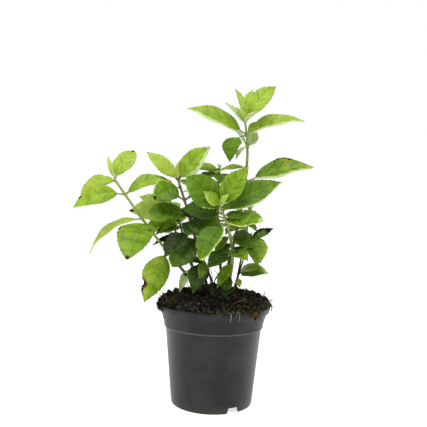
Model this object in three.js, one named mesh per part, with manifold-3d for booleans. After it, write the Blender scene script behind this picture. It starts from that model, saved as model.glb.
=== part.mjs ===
// A young mock orange in a round nursery pot, in millimetres with +Z up.
// The shrub is laid out about the pot's axis with the viewer on the -Y side, and the finished
// group is moved so that the origin lies on the ground under the middle of its bounding box.
import * as THREE from "three";
import { mergeVertices } from "three/addons/utils/BufferGeometryUtils.js";
import Module from "manifold-3d";

const wasm = await Module();
wasm.setup();

// clearance between neighbouring pieces
const GAP = 0.3;

// pot: a thin tapering shell on a foot ring, with a collar and a turned lip
const RIM_RADIUS = 60;
const RIM_HEIGHT = 105.5;
const LIP_DEPTH = 7.5;
const LIP_UNDERCUT = 2.6;
const STEP_HEIGHT = 82.5;
const STEP_RADIUS = 52;
const STEP_LEDGE = 1;
const FOOT_RADIUS = 43;
const WALL = 1.8;
const FOOT_RING = 2.6;
const FOOT_RECESS = 7;
const FLOOR = 2;
const POT_SIDES = 56;

// drain notches in the foot ring, the first one to the right of the viewer's side
const NOTCH_COUNT = 3;
const NOTCH_TURN = -58.4;
const NOTCH_FOOT = 15.5;
const NOTCH_HEAD = 11.5;
const NOTCH_HEIGHT = 6;

// compost heaped over the pot's mouth, with a level seat in the middle where the stems come up
const SOIL_TOP = 116;
const SEAT_RADIUS = 46;
const HEAP_BULGE = 1.6;

// stems
const LIMB_SIDES = 6;
const LIMB_STEP = 12;
const STEM_RADIUS = 1.8;
const TIP_RADIUS = 1.1;
const FLARE = 1.1;
const FLARE_RUN = 5;

// leaves: ovate blades on short stalks, folded along the midrib
const LEAF_ROWS = 5;
const LEAF_THICK = 0.9;
const LEAF_END = 0.4;
const LEAF_FOLD = 0.25;
const WIDEST = 0.4;
const BASE_POWER = 0.75;
const TIP_POWER = 1.05;
const STALK_SHARE = 0.1;
const STALK_SINK = 0.22;
const STALK_RADIUS = 0.7;
const STALK_SIDES = 4;

// leaf pairs grown by rule
const PAIR_STEP = 0.13;
const PAIR_DROOP = 9;
const PAIR_BREADTH = 0.46;
const PAIR_ARCH = 0.1;
const SWINGS = [0, 25, -25, 50, -50, 75, -75];
const CLEAR = 4;
const OWN_ROOM = 12;
const CROWN_MIDDLE = new THREE.Vector3(-12, 20, 182);
const CROWN_REACH = new THREE.Vector3(84, 108, 92);

// colours
const POT_GREY = "#4a4a4d";
const SOIL_BROWN = "#2b2119";
const BARK = "#7d6a48";
const YOUNG = "#a5c344";
const GROWN = "#6f9a2e";
const SHADED = "#42602a";

// A leaf leaves its shoot at a share of the shoot's length. Turn is its bearing, from +X towards +Y,
// rise its slope, both in degrees, then length, breadth as a share of the length, roll about its
// midrib in degrees, the arch of the midrib and the stalk as shares of the length, and the power
// by which the blade narrows to its tip.
function leaf(at, turn, rise, long, broad, roll, arch, stalk = STALK_SHARE, tip = TIP_POWER) {
  return { at, turn, rise, long, broad, roll, arch, stalk, tip };
}

// A shoot stands on its foot on the soil, passes through a half-way point and ends at its tip.
// Its foliage begins at a share of its length, and its girth is a share of the usual stem's.
// The pairs that it grows by rule have the first pair's bearing, its share of the shoot, the
// number of pairs, the leaf length and the slope.
const SHOOTS = [
  {
    name: "tall", foot: [7, 11], half: [29, 19, 226], tip: [27, 12, 298],
    from: 0.12, girth: 1, colour: YOUNG,
    pairs: { turn: 55, at: 0.44, count: 3, long: 34, rise: 4, seed: 7 },
    leaves: [
      leaf(1, 16, 51, 54, 0.38, 58, 0.18, 0.16),
      leaf(1, 120, 62, 44, 0.34, 85, 0.05, 0.03),
      leaf(1, 196, 42, 30, 0.24, -70, 0.08, 0.03),
      leaf(1, 235, 42, 22, 0.56, -10, 0.05, 0.03),
      leaf(1, 315, 35, 21, 0.56, 10, 0.05, 0.03),
      leaf(0.89, 188, 22, 70, 0.38, -46, 0.08, 0.14),
      leaf(0.9, 5, 15, 65, 0.36, 36, 0.11, 0.03),
      leaf(0.885, 222, -50, 38, 0.64, -10, 0.28, 0.34),
      leaf(0.79, 54, 46, 26, 0.5, 30, 0.05),
      leaf(0.79, 132, 42, 36, 0.28, 50, 0.05),
      leaf(0.8, 236, -34, 27, 0.3, 10, 0.08),
      leaf(0.64, 160, -8, 35, 0.4, -24, 0.08),
      leaf(0.55, 352, 14.5, 75, 0.44, 37, 0.07, 0.16),
    ],
  },
  {
    name: "centre", foot: [11, -4], half: [17, -14, 162], tip: [2, -30, 210],
    from: 0.3, girth: 1, colour: GROWN,
    leaves: [
      leaf(1, 212, 36, 23, 0.56, -92, 0.05),
      leaf(1, 312, 42, 18, 0.4, 95, 0.05),
      leaf(0.99, 350, 56, 49, 0.5, 76, 0.05),
      leaf(0.94, 182, 43, 50, 0.66, -66, 0.05, 0.1, 0.8),
      leaf(0.94, 6, 28, 68, 0.41, 56, 0.06),
      leaf(0.86, 162, 9, 49, 0.58, -48, 0.1, 0.18),
      leaf(0.85, 322, 2, 45, 0.5, 36, -0.02, 0.03, 0.7),
      leaf(0.79, 233, -36, 54, 0.42, -17, 0.2, 0.2, 0.65),
      leaf(0.64, 352, -16, 27, 0.66, 40, 0.1),
      leaf(0.68, 172, -50, 24, 0.54, -50, 0.06),
      leaf(0.5, 308, -14, 26, 0.66, 26, 0.1),
      leaf(0.47, 226, -18, 38, 0.54, -24, 0.12, 0.26),
      leaf(0.38, 216, -54, 32, 0.36, -30, 0.06),
    ],
  },
  {
    name: "left", foot: [-10, -8], half: [-54, -14, 164], tip: [-106, -20, 233],
    from: 0.26, girth: 1, colour: GROWN,
    leaves: [
      leaf(1, 52, 49, 41, 0.46, 34, 0.1, 0.1, 0.75),
      leaf(1, 120, 48, 33, 0.16, -50, 0.05),
      leaf(0.99, 158, -27, 49, 0.4, -46, 0.2, 0.04),
      leaf(0.9, 196, -15, 54, 0.4, -60, 0.24, 0.16),
      leaf(0.9, 25, 17, 53, 0.35, 36, 0.17, 0.06),
      leaf(0.735, 182, -35, 65, 0.38, -18, 0.13),
      leaf(0.685, 255, -31, 58, 0.61, -8, 0.12, 0.02, 0.75),
      leaf(0.47, 222, -62, 58, 0.47, -46, 0.05),
    ],
  },
  {
    name: "middle", foot: [-7, 2], half: [-24, 0, 180], tip: [-42, -4, 234],
    from: 0.34, girth: 1, colour: GROWN,
    pairs: { turn: 40, at: 0.8, count: 4, long: 42, rise: 10, seed: 10 },
    leaves: [
      leaf(1, 168, 40, 46, 0.38, -50, 0.05),
      leaf(1, 349, 48, 49, 0.55, 66, 0.05),
      leaf(0.93, 222, -20, 36, 0.73, -50, 0.12, 0.18, 0.75),
      leaf(0.64, 207, 6, 46, 0.46, -46, 0.08, 0.1, 0.7),
      leaf(0.62, 318, -22, 48, 0.68, 34, 0.14),
      leaf(0.45, 237, -34, 48, 0.56, -38, 0.1, 0.1, 0.65),
      leaf(0.52, 233, -30, 51, 0.44, -20, 0.1, 0.3),
    ],
  },
  {
    name: "slim", foot: [-14, 12], half: [-31, 12, 160], tip: [-42, 10, 198],
    from: 0.24, girth: 0.8, colour: SHADED,
    leaves: [
      leaf(1, 190, 3, 52, 0.56, -60, 0.1),
      leaf(0.8, 222, -10, 34, 0.42, -30, 0.1),
      leaf(0.64, 200, -10, 35, 0.28, -30, 0.08),
    ],
  },
  {
    name: "right", foot: [20, 8], half: [27, 8, 141], tip: [36, 5, 174],
    from: 0.16, girth: 0.7, colour: SHADED,
    leaves: [
      leaf(1, 18, 24, 29, 0.36, 50, 0.02),
      leaf(1, 287, -32, 40, 0.62, 0, 0.12),
      leaf(0.78, 84, 2, 34, 0.46, 0, 0.1),
      leaf(0.42, 322, 6, 38, 0.5, 42, 0.1),
      leaf(0.31, 285, -40, 12, 0.66, 10, 0.1),
    ],
  },
  {
    name: "sprig", foot: [0, -3], half: [-6, -5, 136], tip: [-12, -8, 150],
    from: 0.35, girth: 0.8, colour: SHADED,
    leaves: [
      leaf(1, 264, -44, 29, 0.36, -6, 0.16),
      leaf(0.93, 246, -48, 39, 0.56, -14, 0.14),
      leaf(1, 205, -50, 42, 0.26, -30, 0.2, 0.38),
    ],
  },
  {
    name: "back", foot: [10, 22], half: [2, 42, 180], tip: [2, 58, 248],
    from: 0.34, girth: 1, colour: SHADED,
    pairs: { turn: 90, at: 0.92, count: 5, long: 44, rise: 20, seed: 14 },
    leaves: [
      leaf(1, 195, 4, 34, 0.46, -40, 0.05),
      leaf(0.97, 290, -24, 38, 0.6, 10, 0.05),
    ],
  },
  {
    name: "back_left", foot: [-11, 24], half: [-34, 46, 152], tip: [-54, 68, 190],
    from: 0.5, girth: 1, colour: SHADED,
    pairs: { turn: 150, at: 1, count: 4, long: 46, rise: 22, seed: 21 },
    leaves: [],
  },
  {
    name: "back_right", foot: [23, 26], half: [31, 46, 158], tip: [40, 66, 202],
    from: 0.5, girth: 0.8, colour: SHADED,
    pairs: { turn: 0, at: 1, count: 4, long: 44, rise: 22, seed: 22 },
    leaves: [],
  },
];

function radians(degrees) {
  return (degrees * Math.PI) / 180;
}

// closed solid of a geometry whose corners are shared
function solidOf(geometry) {
  geometry.deleteAttribute("normal");
  geometry.deleteAttribute("uv");
  const merged = mergeVertices(geometry, 1e-4);
  const index = merged.index.array;
  const kept = [];
  for (let i = 0; i < index.length; i += 3) {
    const [a, b, c] = [index[i], index[i + 1], index[i + 2]];
    if (a !== b && b !== c && c !== a) {
      kept.push(a, b, c);
    }
  }
  const mesh = new wasm.Mesh({
    numProp: 3,
    vertProperties: new Float32Array(merged.attributes.position.array),
    triVerts: new Uint32Array(kept),
  });
  return new wasm.Manifold(mesh);
}

function geometryOf(solid) {
  const mesh = solid.getMesh();
  const geometry = new THREE.BufferGeometry();
  geometry.setAttribute("position", new THREE.BufferAttribute(new Float32Array(mesh.vertProperties), 3));
  geometry.setIndex(new THREE.BufferAttribute(new Uint32Array(mesh.triVerts), 1));
  geometry.computeVertexNormals();
  return geometry;
}

function turned(profile) {
  const points = profile.map(([r, z]) => new THREE.Vector2(r, z));
  const geometry = new THREE.LatheGeometry(points, POT_SIDES);
  geometry.rotateX(Math.PI / 2);
  return solidOf(geometry);
}

// outer radius of the pot's wall below the lip
function potRadius(z) {
  if (z < STEP_HEIGHT) {
    const body = STEP_RADIUS - STEP_LEDGE - FOOT_RADIUS;
    return FOOT_RADIUS + (body * z) / STEP_HEIGHT;
  }
  const collar = RIM_RADIUS - LIP_UNDERCUT - 1 - STEP_RADIUS;
  return STEP_RADIUS + (collar * (z - STEP_HEIGHT)) / (RIM_HEIGHT - LIP_DEPTH - STEP_HEIGHT);
}

function potSolid() {
  const lip = RIM_HEIGHT - LIP_DEPTH;
  const inside = FOOT_RECESS + FLOOR;
  let pot = turned([
    [0, FOOT_RECESS],
    [FOOT_RADIUS - FOOT_RING, FOOT_RECESS],
    [FOOT_RADIUS - FOOT_RING, 0],
    [FOOT_RADIUS - 0.8, 0],
    [FOOT_RADIUS, 0.8],
    [STEP_RADIUS - STEP_LEDGE, STEP_HEIGHT - 0.6],
    [STEP_RADIUS, STEP_HEIGHT],
    [potRadius(lip - 0.8), lip - 0.8],
    [RIM_RADIUS - 1.4, lip],
    [RIM_RADIUS - 0.8, lip + 0.8],
    [RIM_RADIUS, RIM_HEIGHT - 1],
    [RIM_RADIUS - 0.8, RIM_HEIGHT],
    [RIM_RADIUS - 2.2, RIM_HEIGHT],
    [RIM_RADIUS - 2.8, RIM_HEIGHT - 0.8],
    [potRadius(lip) - WALL, lip - 1],
    [STEP_RADIUS - WALL, STEP_HEIGHT],
    [STEP_RADIUS - STEP_LEDGE - WALL, STEP_HEIGHT - 0.6],
    [potRadius(inside) - WALL, inside],
    [0, inside],
  ]);
  for (let i = 0; i < NOTCH_COUNT; i += 1) {
    pot = pot.subtract(notchSolid(NOTCH_TURN + (360 / NOTCH_COUNT) * i));
  }
  return pot;
}

// cutter of one drain notch: a trapezoid run outwards through the foot ring
function notchSolid(turn) {
  const outline = new THREE.Shape();
  outline.moveTo(-NOTCH_FOOT / 2, -1);
  outline.lineTo(NOTCH_FOOT / 2, -1);
  outline.lineTo(NOTCH_HEAD / 2, NOTCH_HEIGHT);
  outline.lineTo(-NOTCH_HEAD / 2, NOTCH_HEIGHT);
  outline.closePath();
  const geometry = new THREE.ExtrudeGeometry(outline, { depth: 4 * FOOT_RING, bevelEnabled: false });
  geometry.rotateX(Math.PI / 2);
  geometry.translate(0, FOOT_RADIUS + 2 * FOOT_RING, 0);
  geometry.rotateZ(radians(turn - 90));
  return solidOf(geometry);
}

function soilSolid() {
  const floor = FOOT_RECESS + FLOOR + GAP;
  const fit = WALL + GAP;
  const mouth = RIM_RADIUS - 2.8 - GAP;
  return turned([
    [0, floor],
    [potRadius(floor) - fit, floor],
    [STEP_RADIUS - STEP_LEDGE - fit - 0.2, STEP_HEIGHT - 0.6],
    [STEP_RADIUS - fit - 0.2, STEP_HEIGHT],
    [potRadius(RIM_HEIGHT - LIP_DEPTH) - fit - 0.2, RIM_HEIGHT - LIP_DEPTH - 1],
    [mouth - 0.2, RIM_HEIGHT - 0.8],
    [mouth, RIM_HEIGHT + GAP],
    [mouth + HEAP_BULGE, RIM_HEIGHT + 3.5],
    [mouth - 0.6, SOIL_TOP - 3.5],
    [mouth - 5.5, SOIL_TOP - 1],
    [SEAT_RADIUS, SOIL_TOP],
    [0, SOIL_TOP],
  ]);
}

// the line of a shoot from its foot through its half-way point to its tip
function lineOf(shoot) {
  const foot = new THREE.Vector3(...shoot.foot, SOIL_TOP + GAP);
  const half = new THREE.Vector3(...shoot.half);
  const tip = new THREE.Vector3(...shoot.tip);
  const bend = half.clone().multiplyScalar(2);
  bend.addScaledVector(foot, -0.5);
  bend.addScaledVector(tip, -0.5);
  return new THREE.QuadraticBezierCurve3(foot, bend, tip);
}

// a tapering stem along part of a shoot's line, cut level where it stands on the soil
function limbSolid(line, girth, from, to) {
  const length = line.getLength();
  const steps = Math.max(2, Math.round(((to - from) * length) / LIMB_STEP));
  const geometry = new THREE.CylinderGeometry(1, 1, 1, LIMB_SIDES, steps);
  const place = geometry.attributes.position;
  for (let i = 0; i < place.count; i += 1) {
    const share = from + (to - from) * (place.getY(i) + 0.5);
    const along = line.getTangent(share);
    const across = new THREE.Vector3(0, 1, 0).cross(along).normalize();
    const over = across.clone().cross(along);
    const flare = FLARE * Math.exp((-share * length) / FLARE_RUN);
    const radius = girth * (STEM_RADIUS + (TIP_RADIUS - STEM_RADIUS) * share + flare);
    const point = line.getPoint(share);
    point.addScaledVector(across, place.getX(i) * radius);
    point.addScaledVector(over, place.getZ(i) * radius);
    if (share < 1e-6) {
      point.z = SOIL_TOP + GAP;
    }
    place.setXYZ(i, point.x, point.y, point.z);
  }
  return solidOf(geometry);
}

// directions of a leaf: along its midrib, up from its face and across its blade
function frameOf(spec) {
  const turn = radians(spec.turn);
  const rise = radians(spec.rise);
  const roll = radians(spec.roll);
  const along = new THREE.Vector3(
    Math.cos(turn) * Math.cos(rise),
    Math.sin(turn) * Math.cos(rise),
    Math.sin(rise),
  );
  const up = new THREE.Vector3(
    -Math.cos(turn) * Math.sin(rise),
    -Math.sin(turn) * Math.sin(rise),
    Math.cos(rise),
  );
  const side = along.clone().cross(up);
  up.multiplyScalar(Math.cos(roll)).addScaledVector(side, Math.sin(roll));
  return { along, up, across: up.clone().cross(along) };
}

// half breadth of a blade at a share of its length
function halfBreadth(spec, share) {
  if (share <= 0 || share >= 1) {
    return 0;
  }
  const shape = (share / WIDEST) ** BASE_POWER * ((1 - share) / (1 - WIDEST)) ** spec.tip;
  return 0.5 * spec.broad * spec.long * shape;
}

// point on a leaf: share along the blade, share across it and height off its middle surface
function leafPoint(root, spec, frame, share, side, height, least) {
  const stalk = spec.stalk * spec.long;
  const reach = stalk + (spec.long - stalk) * share;
  const half = Math.max(least, halfBreadth(spec, share));
  const bow = 4 * spec.arch * reach * (1 - reach / spec.long);
  const point = root.clone().addScaledVector(frame.along, reach);
  point.addScaledVector(frame.across, half * side);
  return point.addScaledVector(frame.up, bow + LEAF_FOLD * half * Math.abs(side) + height);
}

function bladeSolid(root, spec) {
  const frame = frameOf(spec);
  const geometry = new THREE.BoxGeometry(1, 2, 1, LEAF_ROWS, 2, 1);
  const place = geometry.attributes.position;
  for (let i = 0; i < place.count; i += 1) {
    const share = place.getX(i) + 0.5;
    const height = place.getZ(i) * LEAF_THICK;
    const point = leafPoint(root, spec, frame, share, place.getY(i), height, LEAF_END);
    place.setXYZ(i, point.x, point.y, point.z);
  }
  return solidOf(geometry);
}

// stalk from the middle of the stem into the base of the blade
function stalkSolid(root, spec) {
  const end = leafPoint(root, spec, frameOf(spec), STALK_SINK, 0, 0, 0);
  const run = end.clone().sub(root);
  const radius = spec.long < 25 ? 0.8 * STALK_RADIUS : STALK_RADIUS;
  const geometry = new THREE.CylinderGeometry(0.7 * radius, radius, run.length(), STALK_SIDES, 1);
  const turn = new THREE.Quaternion();
  turn.setFromUnitVectors(new THREE.Vector3(0, 1, 0), run.clone().normalize());
  geometry.applyQuaternion(turn);
  geometry.translate((root.x + end.x) / 2, (root.y + end.y) / 2, (root.z + end.z) / 2);
  return solidOf(geometry);
}

// even sample of a leaf's middle surface, to keep leaves clear of each other
function leafSample(root, spec) {
  const frame = frameOf(spec);
  const points = [];
  for (let i = 0; i <= 12; i += 1) {
    for (let j = -3; j <= 3; j += 1) {
      points.push(leafPoint(root, spec, frame, i / 12, j / 3, 0, 0));
    }
  }
  return points;
}

function nearest(points, others) {
  let least = Infinity;
  for (const p of points) {
    for (const q of others) {
      least = Math.min(least, p.distanceToSquared(q));
    }
  }
  return Math.sqrt(least);
}

// steady draws between 0 and 1
function drawsFrom(seed) {
  let state = seed;
  return () => {
    state = (state * 16807) % 2147483647;
    return state / 2147483647;
  };
}

// leaf pairs of a shoot, each a quarter turn round from the pair above: a leaf swings aside
// from what it would meet, and is left out where no swing gives it room inside the crown
function growPairs(shoot, lines, taken) {
  const { turn, at, count, long, rise, seed } = shoot.pairs;
  const draw = drawsFrom(seed);
  for (let i = 0; i < count; i += 1) {
    for (const half of [0, 180]) {
      const bearing = turn + 90 * i + half + 24 * (draw() - 0.5);
      const slope = rise - PAIR_DROOP * i + 16 * (draw() - 0.5);
      const size = long * (0.85 + 0.1 * Math.min(i, 2)) * (0.9 + 0.2 * draw());
      const roll = 24 * (draw() - 0.5);
      const share = at - PAIR_STEP * i;
      const root = lines.get(shoot.name).getPoint(share);
      for (const swing of SWINGS) {
        const spec = leaf(share, bearing + swing, slope, size, PAIR_BREADTH, roll, PAIR_ARCH);
        const sample = leafSample(root, spec);
        if (hasRoom(shoot, root, sample, lines, taken)) {
          shoot.leaves.push(spec);
          taken.push(sample);
          break;
        }
      }
    }
  }
}

function hasRoom(shoot, root, sample, lines, taken) {
  const reach = sample[sample.length - 1].clone().sub(CROWN_MIDDLE).divide(CROWN_REACH);
  if (reach.length() >= 1) {
    return false;
  }
  const outer = sample.filter((p) => p.distanceTo(root) > OWN_ROOM);
  for (const [name, line] of lines) {
    if (name !== shoot.name && nearest(outer, line.getPoints(59)) < CLEAR) {
      return false;
    }
  }
  return taken.every((other) => nearest(outer, other) >= CLEAR);
}

// a shoot's twig with all its leaves and stalks joined to it
function foliageSolid(shoot, line) {
  const start = shoot.from + GAP / line.getLength();
  let solid = limbSolid(line, shoot.girth, start, 1);
  for (const spec of shoot.leaves) {
    const root = line.getPoint(spec.at);
    solid = solid.add(stalkSolid(root, spec)).add(bladeSolid(root, spec));
  }
  const pieces = solid.decompose();
  return pieces.reduce((a, b) => (a.volume() > b.volume() ? a : b));
}

function meshOf(name, solid, colour, roughness) {
  const material = new THREE.MeshStandardMaterial({ color: colour, roughness, metalness: 0 });
  const mesh = new THREE.Mesh(geometryOf(solid), material);
  mesh.name = name;
  return mesh;
}

const plant = new THREE.Group();
plant.add(meshOf("pot", potSolid(), POT_GREY, 0.5));
plant.add(meshOf("soil", soilSolid(), SOIL_BROWN, 0.95));

const lines = new Map(SHOOTS.map((shoot) => [shoot.name, lineOf(shoot)]));
const taken = [];
for (const shoot of SHOOTS) {
  for (const spec of shoot.leaves) {
    taken.push(leafSample(lines.get(shoot.name).getPoint(spec.at), spec));
  }
}
for (const shoot of SHOOTS) {
  const line = lines.get(shoot.name);
  if (shoot.pairs) {
    growPairs(shoot, lines, taken);
  }
  plant.add(meshOf(`${shoot.name}_stem`, limbSolid(line, shoot.girth, 0, shoot.from), BARK, 0.8));
  plant.add(meshOf(`${shoot.name}_foliage`, foliageSolid(shoot, line), shoot.colour, 0.6));
}

const middle = new THREE.Box3().setFromObject(plant).getCenter(new THREE.Vector3());
plant.position.set(-middle.x, -middle.y, 0);
plant.updateMatrixWorld(true);

export default plant;
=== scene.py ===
"""Looks of a young mock orange in a nursery pot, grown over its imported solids."""

import math
from dataclasses import dataclass, field

import bmesh
import bpy
import numpy as np
from bpy.props import FloatProperty, FloatVectorProperty, IntProperty, PointerProperty
from mathutils import Matrix, Vector, noise


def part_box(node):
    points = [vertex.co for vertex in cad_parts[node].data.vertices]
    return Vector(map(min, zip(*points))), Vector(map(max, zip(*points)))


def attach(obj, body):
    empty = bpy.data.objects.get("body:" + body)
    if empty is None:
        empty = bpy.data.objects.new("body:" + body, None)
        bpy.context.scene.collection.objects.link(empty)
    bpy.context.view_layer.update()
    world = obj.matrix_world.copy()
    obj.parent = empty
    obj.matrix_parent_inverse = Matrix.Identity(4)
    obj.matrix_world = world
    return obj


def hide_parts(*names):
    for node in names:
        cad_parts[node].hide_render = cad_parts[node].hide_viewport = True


bl_info = {
    "name": "Potted mock orange",
    "version": (1, 0, 0),
    "blender": (4, 5, 0),
    "location": "3D View > Sidebar > Mock orange",
    "description": "Builds the pot, compost, stems and leaves of a young mock orange",
    "category": "Add Mesh",
}

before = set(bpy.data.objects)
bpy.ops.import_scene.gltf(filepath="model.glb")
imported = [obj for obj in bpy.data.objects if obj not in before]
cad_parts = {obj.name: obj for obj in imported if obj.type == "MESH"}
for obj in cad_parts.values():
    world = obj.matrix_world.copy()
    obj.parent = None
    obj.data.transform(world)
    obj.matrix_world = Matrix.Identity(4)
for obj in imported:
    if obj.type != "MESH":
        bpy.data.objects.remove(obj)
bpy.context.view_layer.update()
POT_LOW, POT_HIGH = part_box("pot")
SOIL_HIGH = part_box("soil")[1]
MM = 0.001

# The shrub is laid out in millimetres about the pot's axis, with the viewer on the -Y side.
AXIS = np.array(((POT_LOW.x + POT_HIGH.x) / 2, (POT_LOW.y + POT_HIGH.y) / 2, 0.0)) / MM
SOIL_TOP = SOIL_HIGH.z / MM

# Leaf rule, the same as the solids': blade outline, stalk, fold and the seeded pairs.
WIDEST = 0.4
BASE_POWER = 0.75
TIP_POWER = 1.05
STALK_SHARE = 0.1
LEAF_FOLD = 0.25
LEAF_END = 0.35
PAIR_STEP = 0.13
PAIR_DROOP = 9
PAIR_BREADTH = 0.46
PAIR_ARCH = 0.1
SWINGS = (0, 25, -25, 50, -50, 75, -75)
CLEAR = 4
OWN_ROOM = 12
CROWN_MIDDLE = np.array((-12, 20, 182))
CROWN_REACH = np.array((84, 108, 92))

# Stem rule, the same as the solids'.
STEM_RADIUS = 1.8
TIP_RADIUS = 1.1
FLARE = 1.1
FLARE_RUN = 5
STEM_GAP = 0.3

# Stems as they look: how deep a foot goes into the heap, and half the run of a swelling.
FOOT_DEPTH = 4
NODE_RUN = 1.8

# Seeds of the random draws: loose bits, stems, twigs, and the first shoot's leaves.
LITTER_SEED = 21
STEM_SEED = 5
TWIG_SEED = 6
LEAF_SEED = 100

# Veins and grain of a blade.
GRAIN = 1.15
VEIN_PAIRS = 4.6
VEIN_BEND = 0.36

# Relief of a blade: its teeth, waves along its margin, drooping tip, and midrib in millimetres.
TOOTH_POWER = 1.6
WAVE_HEIGHT = 0.07
WAVES = 1.8
TIP_DROOP = 0.3
DROOP_FROM = 0.72
RIB_HEIGHT = 0.45
RIB_HALF = 0.6

# How far the tone of a blade shifts on its veins, darker there as painted shade in their grooves, midrib and
# mottling, and from cell to cell.
VEIN_SHADE = 1.2
RIB_SHIFT = 1.2
MOTTLE_SHIFT = 0.5
CELL_SHIFT = 0.9


@dataclass
class Mark:
    """A mark on a blade, one of damage, pale margin, painted sheen and painted highlight: its kind, share of
    the length, side from -1 to 1, and half sizes in mm.
    """

    kind: str
    share: float
    side: float
    along: float
    across: float


@dataclass
class Leaf:
    """Where a leaf leaves its shoot, its bearing, slope, size, roll and arch, then its looks."""

    at: float
    turn: float
    rise: float
    long: float
    broad: float
    roll: float
    arch: float
    # Tone: the leaf's green, darker deep in the crown, partly its own colour and partly painted shade.
    tone: float = 6.0
    tip: float = TIP_POWER
    stalk: float = STALK_SHARE
    fade: float = -0.6
    # Lean: one half of the blade painted lighter and the other darker, as light and shade fall on them.
    lean: float = 0.0
    bloom: str = "under"
    curl: float = 0.0
    marks: tuple = ()


@dataclass
class Pairs:
    """Leaf pairs grown by rule: first bearing, share of the shoot, count, leaf length and slope."""

    turn: float
    at: float
    count: int
    long: float
    rise: float
    seed: int
    tone: float


@dataclass
class Shoot:
    """A shoot's foot, half-way point and tip, where its foliage starts, girth, bark and leaves.

    Its inner leaves are small or withered ones among the others, within their reach.
    """

    name: str
    foot: tuple
    half: tuple
    tip: tuple
    start: float
    girth: float
    slot: str
    bark: float
    leaves: list = field(default_factory=list)
    pairs: Pairs = None
    inner: list = field(default_factory=list)


# Leaves of each shoot that shows, from its tip down, then small or withered ones among them; the dark tones
# of leaves deep in the crown are partly painted shade.
TALL_LEAVES = [
    Leaf(1, 16, 51, 54, 0.38, 58, 0.18, 3.1, stalk=0.16, fade=0.3),
    Leaf(1, 120, 62, 44, 0.34, 85, 0.05, 1.4, stalk=0.03, bloom="none"),
    Leaf(1, 196, 42, 30, 0.24, -70, 0.08, 3.6, stalk=0.03, bloom="both"),
    Leaf(1, 235, 42, 22, 0.56, -10, 0.05, 0.2, stalk=0.03, bloom="none"),
    Leaf(1, 315, 35, 21, 0.56, 10, 0.05, 0.4, stalk=0.03, bloom="both"),
    Leaf(0.89, 188, 22, 70, 0.38, -46, 0.08, 4.3, stalk=0.14, marks=(Mark("pale", 0.6, 1, 32, 2.6),)),
    Leaf(0.9, 5, 15, 65, 0.36, 36, 0.11, 3.0, stalk=0.03, lean=-0.4, marks=(Mark("pale", 0.5, -1, 30, 3),)),
    Leaf(0.885, 222, -50, 38, 0.64, -10, 0.28, 6.4, stalk=0.34, fade=0.3),
    Leaf(0.79, 54, 46, 26, 0.5, 30, 0.05, 2.4, bloom="both"),
    Leaf(0.79, 132, 42, 36, 0.28, 50, 0.05, 0.6),
    Leaf(0.8, 236, -34, 27, 0.3, 10, 0.08, 0, bloom="both"),
    Leaf(0.64, 160, -8, 35, 0.4, -24, 0.08, 3.0),
    Leaf(
        0.55, 352, 14.5, 75, 0.44, 37, 0.07, 5.1, stalk=0.16, fade=-0.8,
        marks=(
            Mark("pale", 0.45, -1, 34, 3.4), Mark("fleck", 0.5, 0.85, 2.6, 1.1),
            Mark("fleck", 0.56, 0.72, 1.4, 2.4), Mark("fleck", 0.61, 0.7, 1.8, 1.6),
            Mark("char", 0.42, 1, 4, 1), Mark("char", 0.64, 0.9, 2.4, 1.4),
            Mark("char", 0.56, 0.94, 2, 0.8),
        ),
    ),
]
TALL_INNER = [
    Leaf(1, 62, 66, 42, 0.36, 10, 0.1, 3.0, bloom="none"),
    Leaf(0.905, 8, 34, 24, 0.5, 40, 0.1, 3.0),
]
CENTRE_LEAVES = [
    Leaf(1, 212, 36, 23, 0.56, -92, 0.05, 4.2, lean=-1.2, marks=(Mark("rim", 0.5, 1, 12, 1),)),
    Leaf(1, 312, 42, 18, 0.4, 95, 0.05, 2.2),
    Leaf(0.99, 350, 56, 49, 0.5, 76, 0.05, 5.2),
    Leaf(0.94, 182, 43, 50, 0.66, -66, 0.05, 6.9, tip=0.8, marks=(Mark("rim", 0.5, 1, 18, 0.5),)),
    Leaf(0.94, 6, 28, 68, 0.41, 56, 0.06, 7.2, fade=-1.0, marks=(Mark("pale", 0.5, -1, 34, 1),)),
    Leaf(0.86, 162, 9, 49, 0.58, -48, 0.1, 9.0, stalk=0.18, marks=(Mark("char", 0.6, 1, 16, 2),)),
    Leaf(
        0.85, 322, 2, 45, 0.5, 36, -0.02, 5.8, tip=0.7, stalk=0.03,
        # The mark at the tip is a painted highlight on its curled end.
        marks=(Mark("rim", 0.5, -1, 22, 0.9), Mark("rim", 0.95, 0.2, 3.4, 2.4)),
    ),
    Leaf(
        0.79, 233, -36, 54, 0.42, -17, 0.2, 7.5, tip=0.65, stalk=0.2,
        marks=(Mark("rim", 0.5, 1, 26, 0.9), Mark("spot", 0.86, -0.9, 1.4, 0.8)),
    ),
    Leaf(0.64, 352, -16, 27, 0.66, 40, 0.1, 8.0),
    Leaf(0.68, 172, -50, 24, 0.54, -50, 0.06, 8.6),
    Leaf(0.5, 308, -14, 26, 0.66, 26, 0.1, 4.6, lean=-1.2),
    Leaf(0.47, 226, -18, 38, 0.54, -24, 0.12, 9.3, stalk=0.26),
    Leaf(0.38, 216, -54, 32, 0.36, -30, 0.06, 5.6),
]
CENTRE_INNER = [
    Leaf(0.9, 345, -8, 24, 0.5, 40, 0.1, 7.0),
    Leaf(0.98, 0, -2, 14, 0.6, 50, 0.1, 5.6),
    Leaf(0.22, 240, -50, 24, 0.5, -20, 0.05, 8.6),
    Leaf(0.1, 262, -14, 30, 0.5, 0, 0.0, 12),
    Leaf(0.66, 8, 4, 24, 0.5, 40, 0.1, 9.6),
    Leaf(0.6, 205, -46, 20, 0.6, -30, 0.1, 9.8),
    Leaf(0.55, 340, -30, 18, 0.6, 30, 0.1, 9.2),
]
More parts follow.
